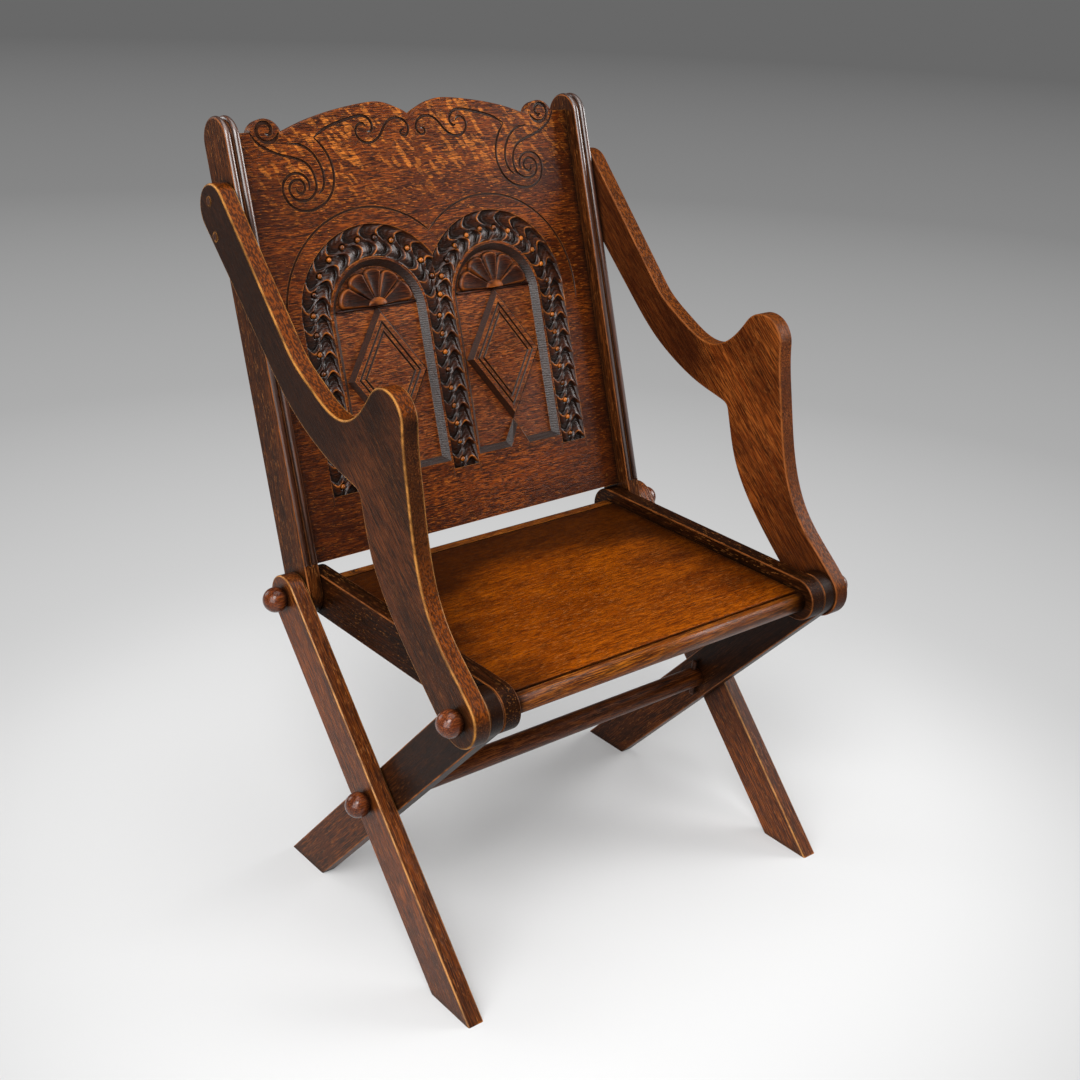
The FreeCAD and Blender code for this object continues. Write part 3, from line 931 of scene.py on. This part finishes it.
@dataclass
class CarvedPanel:
    """The carved back panel, drawn flat and leaned back.

    The carving is a crest of two lobes between scrolls, incised scrollwork, and two arched fields with a fan
    and a lozenge, framed by bands of overlapping leaves and beads.
    """

    oaks: dict[str, Material]
    half_width: float = 251.8
    foot: float = 30.5
    face: float = 8.0
    thick: float = 17.0
    shoulder: float = 535.0
    lobe: Sequence[Point] = ((0.0, 543.0), (16, 552), (45, 561), (92, 557), (140, 547.5), (182.0, 533.5))
    lobe_steps: int = 10
    scroll_middle: float = 203.0
    scroll_half: float = 20.5
    scroll_top: float = 550.0
    scroll_steps: int = 18
    crest_round: float = 2.6
    crest_end: float = 228.0
    crest_drop: float = 3.0
    arch_middle: float = 89.5
    arch_radius: float = 67.0
    arch_steps: int = 36
    spring: float = 309.0
    field_foot: float = 114.0
    field_depth: float = 8.0
    splay: float = 8.0
    toe: Point = (15.0, 27.0)
    toe_lap: float = 0.3
    over_cut: float = 2.0
    band_inner: float = 70.0
    band_outer: float = 109.5
    band_foot: float = 103.0
    band_steps: int = 40
    band_columns: int = 44
    leaf_rows: int = 34
    band_under: float = 0.05
    leaf: LeafCut = LeafCut()
    line_level: float = 0.15
    line_taper: float = 0.45
    arch_line: float = 129.0
    arch_line_drop: float = 18.0
    arch_line_gouge: float = 1.48
    line_steps: int = 22
    ticks: Sequence[float] = (21.0, 158.0, 200.0)
    tick_span: Point = (0.5, 11.0)
    tick_gouge: float = 1.3
    lozenge_middle: float = 234.0
    lozenge_top: Point = (52.0, 77.0)
    lozenge_foot: Point = (58.0, 86.0)
    lozenge_sunk: float = 1.2
    border: Point = (1.5, 1.8)
    border_lands: Point = (5.0, 3.4)
    fan: PetalCut = PetalCut()
    fan_gap: float = 1.5
    fan_under: float = 0.4
    petal_columns: int = 18
    petal_rows: int = 20

    def piece(self, name: str, bm: BMesh, *oaks: str, smooth: bool = False) -> Object:
        """Turn a flat mesh into a leaning object.

        Args:
            name: The object's name.
            bm: The mesh in flat millimetres; it is freed.
            *oaks: Names of its finishes, in the order of its material slots.
            smooth: Whether its faces are shaded smooth.

        Returns:
            The object, linked to the scene.
        """
        bmesh.ops.transform(bm, matrix=leaning(self.face), verts=bm.verts)
        return make_object(name, bm, [self.oaks[oak] for oak in oaks], smooth)

    def crest(self) -> list[Point]:
        """Draw the top edge of the right half.

        Returns:
            Its points, from the middle to the stile.
        """
        rise = self.scroll_top - self.shoulder
        radius = (self.scroll_half ** 2 + rise ** 2) / (2 * rise)
        sweep = math.degrees(math.asin(self.scroll_half / radius))
        centre = (self.scroll_middle, self.scroll_top - radius)
        scroll = turned_points(centre, radius, 90 + sweep, 90 - sweep, self.scroll_steps)
        return smooth_points(self.lobe, self.lobe_steps) + scroll + [(self.half_width, self.shoulder)]

    def opening(self, inset: float) -> list[Point]:
        """Draw the outline of the right arched field, round the triangle left at its foot.

        Args:
            inset: How far the outline is drawn in.

        Returns:
            Its points.
        """
        middle = self.arch_middle
        side = self.arch_radius - inset
        arch = turned_points((middle, self.spring), side, 0, 180, self.arch_steps)
        foot = self.field_foot + inset
        half = self.toe[0] + self.toe_lap * inset
        triangle = [(middle - half, foot), (middle, foot + self.toe[1]), (middle + half, foot)]
        return [(middle - side, foot), *triangle, (middle + side, foot), *arch]

    def channel(self) -> list[Point]:
        """Draw the outline of the sunk bands that frame both fields.

        Returns:
            Its points.
        """
        middle = (self.arch_middle, self.spring)
        meet = math.degrees(math.acos(self.arch_middle / self.band_outer))
        outside = turned_points(middle, self.band_outer, 180 - meet, 0, self.band_steps)
        inside = turned_points(middle, self.band_inner, 0, 180, self.arch_steps)
        reaches = (self.band_outer, self.band_inner, -self.band_inner)
        far, near, first = ((self.arch_middle + reach, self.band_foot) for reach in reaches)
        right = [*outside, far, near, *inside, first]
        return right + mirrored(right)[:-1]

    def lines(self) -> list[IncisedLine]:
        """List the incised lines of the right half.

        Returns:
            The scrollwork, the line round the arch and the ticks under the bands.
        """
        meet = math.degrees(math.acos(self.arch_middle / self.arch_line))
        arch = turned_points((self.arch_middle, self.spring), self.arch_line, 180 - meet, 0, self.line_steps)
        arch.append((self.arch_middle + self.arch_line, self.spring - self.arch_line_drop))
        ticks = [[(x, self.band_foot - drop) for drop in self.tick_span] for x in self.ticks]
        return [
            *SCROLLWORK, IncisedLine(arch, self.arch_line_gouge),
            *(IncisedLine(tick, self.tick_gouge) for tick in ticks)]

    def gouge(self) -> Object:
        """Make the cutter for all incised lines: round veins with tapered ends.

        Returns:
            The cutter.
        """
        curve = bpy.data.curves.new("gouge", "CURVE")
        curve.dimensions = "3D"
        curve.bevel_depth = 1.0
        curve.bevel_resolution = 1
        curve.resolution_u = 5
        curve.use_fill_caps = True
        for line in self.lines():
            for path in (line.points, mirrored(line.points)):
                spline = curve.splines.new("BEZIER")
                spline.bezier_points.add(len(path) - 1)
                for i, (spot, (x, t)) in enumerate(zip(spline.bezier_points, path)):
                    spot.co = (x, t, self.line_level)
                    spot.handle_left_type = spot.handle_right_type = "AUTO"
                    spot.radius = line.radius * (self.line_taper if i in (0, len(path) - 1) else 1.0)
        holder = bpy.data.objects.new("gouge", curve)
        bpy.context.scene.collection.objects.link(holder)
        mesh = bpy.data.meshes.new_from_object(holder)
        bpy.data.objects.remove(holder)
        bm = bmesh.new()
        bm.from_mesh(mesh)
        bmesh.ops.remove_doubles(bm, verts=bm.verts, dist=SNAP)
        bmesh.ops.recalc_face_normals(bm, faces=bm.faces)
        return self.piece("gouge", bm, "groove")

    def board(self) -> Object:
        """Build the board with its crest, sunk bands, splayed fields and incised lines.

        Returns:
            The board.
        """
        bm = bmesh.new()
        crest = self.crest()
        feet = [(-self.half_width, self.foot), (self.half_width, self.foot)]
        prism(bm, [*feet, *crest[::-1], *mirrored(crest)[::-1][1:]], -self.thick, 0.0)
        rim = [
            e for e in bm.edges if abs(e.verts[0].co.z - e.verts[1].co.z) < SNAP
            and min(v.co.y for v in e.verts) > self.shoulder - self.crest_drop
            and max(abs(v.co.x) for v in e.verts) < self.crest_end]
        ease_edges(bm, rim, self.crest_round)
        blank = self.piece("carved_panel_board", bm, "carved")
        bm = bmesh.new()
        prism(bm, self.channel(), -self.leaf.depth, self.over_cut)
        tools = [self.piece("band_cutter", bm, "groove")]
        for side in (1, -1):
            bm = bmesh.new()
            top = [(side * x, t) for x, t in self.opening(-self.over_cut * self.splay / self.field_depth)]
            low = [(side * x, t) for x, t in self.opening(self.splay)]
            prism(bm, top, -self.field_depth, self.over_cut, low)
            for face in bm.faces:
                face.material_index = int(max(v.co.z for v in face.verts) > 0)
            tools.append(self.piece("field_cutter", bm, "field", "reveal"))
        tools.append(self.gouge())
        carve(blank, tools)
        return blank

    @property
    def half_band(self) -> float:
        """Half the width of a leaf band."""
        return (self.band_outer - self.band_inner) / 2

    @property
    def band_middle(self) -> float:
        """The radius of an arch band's middle line."""
        return (self.band_outer + self.band_inner) / 2

    def up_pilaster(self, centre: float, across: float, along: float) -> Point:
        """A flat point on an upright band, for a place across it and along it from its foot."""
        return (centre + across * self.half_band, self.band_foot + along)

    def over_arch(self, side: int, across: float, along: float) -> Point:
        """Find a flat point on an arch band, which runs from its outer foot to the panel's middle.

        Args:
            side: -1 for the left arch or 1 for the right one.
            across: From -1 to 1 over the band.
            along: Distance along the band.

        Returns:
            The point.
        """
        angle = along / self.band_middle
        radius = self.band_middle + across * self.half_band * side
        return (side * (self.arch_middle + radius * math.cos(angle)), self.spring + radius * math.sin(angle))

    def band(
            self, name: str, spot: Callable[[float, float], Point], length: float,
            cut_side: int = 0) -> Object:
        """Build one strip of overlapping leaves with a row of beads down its middle.

        Args:
            name: The object's name.
            spot: Flat point for a place across (-1 to 1) and along (in millimetres).
            length: Length of the strip.
            cut_side: Side of the panel's middle (-1 or 1) that the strip keeps to, or 0.

        Returns:
            The strip.
        """
        leaf = self.leaf
        bm = bmesh.new()
        sunk = bm.verts.layers.float.new("hollow")
        crest = bm.verts.layers.float.new("rim")
        units = round(length / leaf.pitch)
        pitch = length / units
        bmesh.ops.create_grid(bm, x_segments=self.band_columns, y_segments=units * self.leaf_rows, size=1.0)
        for vert in bm.verts:
            across = vert.co.x
            along = (vert.co.y + 1) / 2 * length
            height, vert[sunk], vert[crest] = leaf.at(across, along / pitch, self.half_band)
            vert.co = (*spot(across, along), height - leaf.depth)
        if cut_side:
            trim(bm, (0, 0, 0), (-cut_side, 0, 0))
        close_under(bm, self.band_under - leaf.depth)
        for k in range(units):
            x, t = spot(leaf.bead_spot[0], (k + leaf.bead_spot[1]) * pitch)
            if x * cut_side < 0:
                continue
            place = Matrix.Translation((x, t, leaf.bead_rise - leaf.depth))
            shape = place @ Matrix.Diagonal((1, 1, leaf.bead_flat, 1))
            bead = bmesh.ops.create_icosphere(bm, subdivisions=3, radius=leaf.bead_radius, matrix=shape)
            for vert in bead["verts"]:
                vert[crest] = leaf.bead_rim
        bmesh.ops.recalc_face_normals(bm, faces=bm.faces)
        return self.piece(name, bm, "leaf", smooth=True)

    def bands(self) -> list[Object]:
        """Build the five strips.

        Returns:
            Three pilasters and two arches.
        """
        far = self.arch_middle + self.band_middle
        upright = self.spring - self.band_foot
        made = []
        for name, centre in (("left", -far), ("middle", 0.0), ("right", far)):
            made.append(self.band(f"leaf_pilaster_{name}", partial(self.up_pilaster, centre), upright))
        for name, side in (("left", -1), ("right", 1)):
            run = math.pi * self.band_middle
            made.append(self.band(f"leaf_arch_{name}", partial(self.over_arch, side), run, side))
        return made

    def lozenges(self) -> Object:
        """Build both raised lozenges with their incised borders.

        Returns:
            The lozenges.
        """
        bm = bmesh.new()
        width, depth = self.border
        groove = ((width, -depth), (width, depth))
        steps = ((self.border_lands[0], 0.0), *groove, (self.border_lands[1], 0.0), *groove)
        for middle in (self.arch_middle, -self.arch_middle):
            outlines = [
                [(middle + half, self.lozenge_middle), (middle, self.lozenge_middle + tall),
                 (middle - half, self.lozenge_middle), (middle, self.lozenge_middle - tall)]
                for half, tall in (self.lozenge_top, self.lozenge_foot)]
            before = set(bm.faces)
            top = prism(bm, outlines[0], -self.field_depth, -self.lozenge_sunk, outlines[1])
            # The sloped sides take the dark groove oak: old wax and painted shade.
            for side_face in set(bm.faces) - before - {top}:
                side_face.material_index = 1
            for thickness, rise in steps:
                rims = bmesh.ops.inset_region(
                    bm, faces=[top], thickness=thickness, depth=rise, use_even_offset=True)["faces"]
                for rim in rims:
                    rim.material_index = int(rise != 0)
        return self.piece("raised_lozenges", bm, "field", "groove")

    def fans(self) -> Object:
        """Build the fan of hollow petals and its half-round boss under each arch.

        Returns:
            Both fans.
        """
        fan = self.fan
        bm = bmesh.new()
        sunk = bm.verts.layers.float.new("hollow")
        crest = bm.verts.layers.float.new("rim")
        limit = self.arch_radius - self.splay - self.fan_gap
        drop = fan.base - self.spring
        for middle in (self.arch_middle, -self.arch_middle):
            columns = fan.petals * self.petal_columns
            sheet = bmesh.ops.create_grid(bm, x_segments=columns, y_segments=self.petal_rows, size=1.0)
            for vert in sheet["verts"]:
                turn = (vert.co.x + 1) / 2
                out = (vert.co.y + 1) / 2
                angle = math.pi * turn
                reach = -drop * math.sin(angle) + math.sqrt(limit ** 2 - (drop * math.cos(angle)) ** 2)
                tip, height, vert[sunk], vert[crest] = fan.at(turn, out)
                radius = fan.hub + (reach * tip - fan.hub) * out
                vert.co = (middle + radius * math.cos(angle), fan.base + radius * math.sin(angle),
                           height - self.field_depth)
            close_under(bm, -self.fan_under - self.field_depth)
            place = Matrix.Translation((middle, fan.base, fan.boss_rise - self.field_depth))
            shape = place @ Matrix.Diagonal((*fan.boss, 1))
            boss = bmesh.ops.create_uvsphere(
                bm, u_segments=fan.boss_facets, v_segments=fan.boss_facets // 2, radius=1.0,
                matrix=shape)["verts"]
            for vert in boss:
                vert[crest] = fan.boss_rim
            part = {g for v in boss for g in (v, *v.link_edges, *v.link_faces)}
            trim(bm, (middle, fan.base + fan.boss_gap, 0), (0, -1, 0), list(part))
            cap_holes(bm)
            depth, tall = fan.sill
            sill = [(middle - limit, fan.base - depth), (middle + limit, fan.base - depth),
                    (middle + limit, fan.base), (middle - limit, fan.base)]
            prism(bm, sill, -self.field_depth, tall - self.field_depth)
        bmesh.ops.recalc_face_normals(bm, faces=bm.faces)
        return self.piece("arch_fans", bm, "petal", smooth=True)

    def build(self) -> list[Object]:
        """Build the panel's pieces and hang them on the back.

        Returns:
            All pieces of the panel.
        """
        made = [self.board(), *self.bands(), self.lozenges(), self.fans()]
        for each in made:
            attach(each, "back")
        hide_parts("back_panel")
        return made


@dataclass
class OakFrame:
    """The chair's own members: which finish each one wears."""

    single: dict[str, tuple[str, ...]] = field(default_factory=lambda: {
        "bar": ("seat_front_rail", "seat_rear_rail"),
        "stretcher": ("stretcher",),
        "arm_left": ("arm_left",),
        "arm_right": ("arm_right",),
        "seat": ("seat_board",),
        "peg": ("seat_pins", "panel_brads"),
    })
    paired: dict[str, tuple[str, ...]] = field(default_factory=lambda: {
        "outer": ("outer_leg",),
        "inner": ("inner_leg",),
        "stile": ("back_stile",),
        "rail": ("seat_rail",),
        "ball": ("rear_pin", "front_pin", "cross_pin"),
        "peg": ("stretcher_peg", "arm_plugs"),
    })

    def dress(self, nodes: dict[str, Object], oaks: dict[str, Material]) -> None:
        """Give every member its oak.

        Args:
            nodes: The chair's members by name.
            oaks: The finishes by name.
        """
        worn = [(key, name) for key, names in self.single.items() for name in names]
        for side in ("left", "right"):
            worn += [(key, f"{name}_{side}") for key, names in self.paired.items() for name in names]
        for key, name in worn:
            nodes[name].data.materials.clear()
            nodes[name].data.materials.append(oaks[key])
            LOG.info("%s wears %s", name, oaks[key].name)


OAKS = {
    # Sawn planks in full light: brown streaks, and a pale line where the arrises are rubbed through.
    "outer": WaxedOak(
        "dark_oak_outer_leg", "#361605", "#622d0b", "#944d19", Grain.OUTER_LEG, arris="#c08444", sheen=0.2,
        roughness=0.32, wear_mm=3.2),
    # The same planks behind, laid darker as their shaded copy, with painted shade turning them nearly black
    # towards the seat.
    "inner": WaxedOak(
        "shaded_oak_inner_leg", "#2a1204", "#4a220a", "#743c13", Grain.INNER_LEG, arris="#98592a", sheen=0.08,
        reach_darkening=ReachDarkening((0, -78, 0), (1000, 1000, 235), "#100501", 0.85)),
    # Planed stiles: dark and dull, so that the reeds before them shine.
    "stile": WaxedOak(
        "dark_oak_stile", "#271003", "#482109", "#6e3914", Grain.STILE, arris="#8a4e22", sheen=0.08,
        coat=0.03),
    # Moulded reeds under thick wax: long soft lights on dark brown.
    "reed": WaxedOak(
        "polished_reed_oak", "#2c1204", "#4a220b", "#6c3815", Grain.STILE, wear=0.0, fleck=0.0, sheen=1.0,
        roughness=0.36, coat=1.0, coat_rough=0.32, pore=0.35, bump=0.06),
    # Seat rails: almost black, with a brown edge.
    "rail": WaxedOak(
        "dark_oak_seat_rail", "#140701", "#260f04", "#3e1d09", Grain.LEVEL, arris="#7c4620", sheen=0.04,
        coat=0.02),
    # Turned bars rubbed by the sitter: warm orange brown.
    "bar": WaxedOak("turned_oak_bars", "#4c1f00", "#7a3803", "#a86013", wear=0.3),
    # A plain sawn stretcher: brown, with little wear.
    "stretcher": WaxedOak("dark_oak_stretcher", "#361605", "#5e2b0a", "#8c4a18", wear=0.3),
    # A shaped arm: dark sides, and a speckled top with a pale edge where hands have rubbed it.
    "arm_left": WaxedOak(
        "rubbed_oak_left_arm", "#241003", "#45200c", "#6a391b", Grain.ARM, fleck=0.1, rubbed_top="#743606",
        arris="#b47a3a", wear_mm=4.5, sheen=0.1, coat=0.0,
        # Darker towards the upper end by the stile.
        reach_darkening=ReachDarkening((-276, -200, 500), (1000, 190, 215), "#150702", 0.75)),
    # The other arm: a redder, lighter plank.
    "arm_right": WaxedOak(
        "rubbed_oak_right_arm", "#3e1705", "#74340f", "#a35a24", Grain.ARM, fleck=0.15,
        rubbed_top="#743a0c", arris="#8a4d20", wear_mm=3.5, sheen=0.1, coat=0.0,
        # Darker away from the middle of the arm.
        reach_darkening=ReachDarkening((276, -150, 600), (1000, 150, 165), "#2a1005", 0.7)),
    # A planed board that is sat on: golden in the middle, and darker towards the back and sides with old wax
    # and painted shade from the back panel and arms.
    "seat": WaxedOak(
        "golden_oak_seat", "#632700", "#883e00", "#aa5604", wear=0.25, fleck=0.3, pore=0.5,
        # The wide hollow reach paints shade far under the back panel and arms.
        grain_mm=(1.1, 18.0), hollow_mm=60.0, hollow=0.75, sheen=0.06, coat=0.02,
        reach_darkening=ReachDarkening((10, -180, 390), (225, 205, 400), "#1c0901", 0.82)),
    # Turned and polished balls: red brown, with a small sharp light.
    "ball": WaxedOak(
        "polished_oak_balls", "#421a0a", "#642c12", "#864620", wear=0.0, roughness=0.2, coat=0.4,
        coat_rough=0.07, sheen=0.15, fleck=0.0, pore=0.5),
    # Cleft pegs: dark end grain without figure.
    "peg": WaxedOak("cleft_oak_pegs", "#2a1206", "#44200c", "#5c3014", wear=0.3, fleck=0.0),
    # The quarter-sawn face of the panel: orange flecks, flaky figure by the crest, and black wax with
    # painted shade beside cuts and stiles. It is darker towards its sides and foot.
    "carved": WaxedOak(
        "carved_quartered_oak", "#310f03", "#6a2b05", "#9c4d13", ray="#cc7428", fleck=0.55, wear=0.7,
        pore=0.75, wear_mm=1.4, hollow=0.9, hollow_mm=26.0, figure=(790.0, 850.0), grain_mm=(1.2, 20.0),
        reach_darkening=ReachDarkening((0, 200, 740), (250, 1000, 420), "#2e1004", 0.6)),
    # Sunk fields and lozenges: lighter and well rubbed, with black wax and painted shade in the corners.
    "field": WaxedOak(
        "sunk_quartered_oak", "#471a07", "#7c3710", "#b46226", ray="#c47434", fleck=0.5, wear=0.95,
        pore=0.75, wear_mm=2.6, hollow=1.0, hollow_mm=9.0, grain_mm=(1.2, 20.0), sheen=0.3),
    # The splayed sides of the fields: dark, with the strokes of the chisel.
    "reveal": WaxedOak(
        "chiselled_reveal_oak", "#1c0c05", "#2c150a", "#3e2011", fleck=0.0, wear=0.4, wear_mm=1.2,
        hollow=0.8, hollow_mm=6.0, roughness=0.36, sheen=0.5, tool_mm=2.2),
    # Carved leaves: golden rims over hollows blackened by old wax and painted shade, with a waxy light.
    "leaf": WaxedOak(
        "leaf_carved_oak", "#240d04", "#3e1909", "#582c12", worn="#c06a1e", fleck=0.0, wear=0.5,
        wear_mm=1.2, hollow=0.9, hollow_mm=7.0, carving=True, roughness=0.27, sheen=0.34, bump=0.2),
    # Scooped petals: brown ridges, and dull hollows darkened by old wax and painted shade.
    "petal": WaxedOak(
        "hollow_petal_oak", "#2a1005", "#421909", "#5c2b10", worn="#a8581a", fleck=0.0, wear=0.4,
        wear_mm=1.0, hollow=0.9, hollow_mm=6.0, carving=True, roughness=0.4, sheen=0.14, bump=0.25),
    # Gouged lines full of old wax: nearly black, with a faint shine.
    "groove": WaxedOak(
        "waxed_groove_oak", "#261006", "#371909", "#4a2510", fleck=0.0, wear=0.0, hollow_mm=3.0,
        hollow=0.6, roughness=0.32, sheen=0.4, coat=0.1, bump=0.1),
}


@dataclass(frozen=True)
class Softbox:
    """A square soft lamp: its place, aim and side in metres, and its power in watts."""

    name: str
    spot: Triple
    aim: Triple
    side: float
    power: float

    def build(self) -> None:
        """Set the lamp up and point it."""
        data = bpy.data.lights.new(self.name, "AREA")
        data.shape = "SQUARE"
        data.size = self.side
        data.energy = self.power
        made = bpy.data.objects.new(self.name, data)
        made.location = self.spot
        made.rotation_euler = (Vector(self.aim) - Vector(self.spot)).to_track_quat("-Z", "Y").to_euler()
        bpy.context.scene.collection.objects.link(made)


@dataclass
class PaperAndGlowFloor:
    """A wide pale floor of matt paper lit near the chair, with a painted glow, faint there, that fades to
    grey far away.

    It gives the eye a soft shadow and no shine, and looks paler than the light that it throws back.
    Sizes are in metres.
    """

    radius: float = 40.0
    fade_reach: float = 10.0
    fade: Sequence[tuple[float, str]] = (
        (0.0, "#f8f8f8"), (0.04, "#eaeaea"), (0.08, "#d4d4d4"), (0.2, "#adadad"), (0.45, "#868686"),
        (1.0, "#686868"))
    seen_tone: str = "#dbdbdb"
    lit_tone: str = "#9e9e9e"
    lit_glow: float = 0.3
    lit_near: Point = (0.45, 1.0)
    near_glow: float = 0.18

    def material(self) -> Material:
        """Make the paper.

        Returns:
            The finished node material.
        """
        material = bpy.data.materials.new("pale_paper_and_glow_floor")
        add = blank_tree(material)
        place = add("TexCoord").outputs["Object"]
        away = add("VectorMath", {0: place}, operation="LENGTH").outputs["Value"]
        share = add("MapRange", {"Value": away, "From Max": self.fade_reach}).outputs["Result"]
        fading = add("ValToRGB", {"Fac": share})
        stops = fading.color_ramp.elements
        stops[0].color = linear(self.fade[0][1])
        stops[1].color = linear(self.fade[-1][1])
        for where, tone in self.fade[1:-1]:
            stops.new(where).color = linear(tone)
        path = add("LightPath").outputs
        seen = path["Is Camera Ray"]
        for ray in ("Is Glossy Ray", "Is Transmission Ray"):
            seen = add("Math", {0: seen, 1: path[ray]}, operation="MAXIMUM").outputs[0]
        tone = add("Mix", {
            MIX_FACTOR: seen, MIX_FIRST: linear(self.lit_tone), MIX_SECOND: linear(self.seen_tone)},
            data_type="RGBA").outputs[MIX_RESULT]
        paper = add("BsdfDiffuse", {"Color": tone}).outputs["BSDF"]
        strength = add("MapRange", {"Value": seen, "To Min": self.lit_glow}).outputs["Result"]
        glow = add("Emission", {
            "Color": fading.outputs["Color"], "Strength": strength}).outputs["Emission"]
        near = add("MapRange", {
            "Value": away, "From Min": self.lit_near[0], "From Max": self.lit_near[1],
            "To Min": self.near_glow}, interpolation_type=Step.SMOOTH.value).outputs["Result"]
        # Painted glow: faint over the lit paper near the chair, and all glow far away.
        surface = add("MixShader", {0: near, 1: paper, 2: glow})
        add("OutputMaterial", {"Surface": surface.outputs["Shader"]})
        return material

    def build(self) -> None:
        """Build the floor."""
        bm = bmesh.new()
        bmesh.ops.create_circle(bm, cap_ends=True, segments=96, radius=self.radius)
        made = make_object("studio_floor", bm, [self.material()])


@dataclass
class Studio:
    """The room round the chair: floor, dim grey world, soft lamps, and the camera of the photograph."""

    camera_mm: Triple = (-1103.4, -1350.9, 1177.0)
    yaw_deg: float = -40.10
    pitch_deg: float = -23.93
    roll_deg: float = 2.56
    sensor_mm: float = 36.0
    clip_end_m: float = 200.0
    focal_px: float = 1533.2
    image_px: float = 1080.0
    centre_px: Point = (545.2, 553.5)
    sky: str = "#e7e7e7"
    sky_lit: float = 0.09
    sky_seen: float = 0.175
    lamps: Sequence[Softbox] = (
        Softbox("left_softbox", (-2.4, -1.2, 1.3), (0, 0, 0.6), 2.2, 72.0),
        Softbox("key_softbox", (-1.8, -1.6, 2.9), (0, 0, 0.5), 1.3, 74.0),
        Softbox("right_softbox", (2.7, -0.8, 1.4), (0, 0, 0.6), 1.4, 56.0),
        Softbox("back_softbox", (-1.5, 2.7, 1.5), (0, 0, 0.5), 1.4, 20.0),
        Softbox("overhead_softbox", (0.2, -0.2, 3.0), (0, 0, 0), 2.2, 34.0),
    )

    def camera(self) -> None:
        """Set the camera up at the photograph's place and angle."""
        data = bpy.data.cameras.new("photo_camera")
        data.sensor_width = self.sensor_mm
        data.lens = self.focal_px / self.image_px * data.sensor_width
        data.shift_x = (self.image_px / 2 - self.centre_px[0]) / self.image_px
        data.shift_y = (self.centre_px[1] - self.image_px / 2) / self.image_px
        data.clip_end = self.clip_end_m
        made = bpy.data.objects.new("photo_camera", data)
        bpy.context.scene.collection.objects.link(made)
        level = Euler((math.radians(90 + self.pitch_deg), 0, math.radians(self.yaw_deg)), "XYZ").to_matrix()
        roll = Matrix.Rotation(math.radians(self.roll_deg), 3, "Z")
        made.matrix_world = Matrix.Translation(Vector(self.camera_mm) * MM) @ (level @ roll).to_4x4()
        bpy.context.scene.camera = made

    def world(self) -> None:
        """Set up a dim grey world that looks as light as the far floor."""
        world = bpy.data.worlds.new("studio_world")
        add = blank_tree(world)
        seen = add("LightPath").outputs["Is Camera Ray"]
        level = add("MapRange", {
            "Value": seen, "To Min": self.sky_lit, "To Max": self.sky_seen}).outputs["Result"]
        sky = add("Background", {"Color": linear(self.sky), "Strength": level})
        add("OutputWorld", {"Surface": sky.outputs["Background"]})
        bpy.context.scene.world = world

    def build(self) -> None:
        """Set up floor, world, lamps and camera."""
        PaperAndGlowFloor().build()
        self.world()
        for lamp in self.lamps:
            lamp.build()
        self.camera()


def main() -> None:
    """Build the chair's looks and the studio round it."""
    logging.basicConfig(level=logging.INFO, format="%(message)s")
    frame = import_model()
    oaks = {key: oak.build() for key, oak in OAKS.items()}
    OakFrame().dress(frame["nodes"], oaks)
    pieces = [Nosing(oaks["bar"]).build(), *StileReeds(oaks["reed"]).build(), *CarvedPanel(oaks).build()]
    for piece in pieces:
        LOG.info("%s: %d faces", piece.name, len(piece.data.polygons))
    Studio().build()
    bpy.context.scene.view_settings.view_transform = "Standard"


if __name__ == "__main__":
    main()
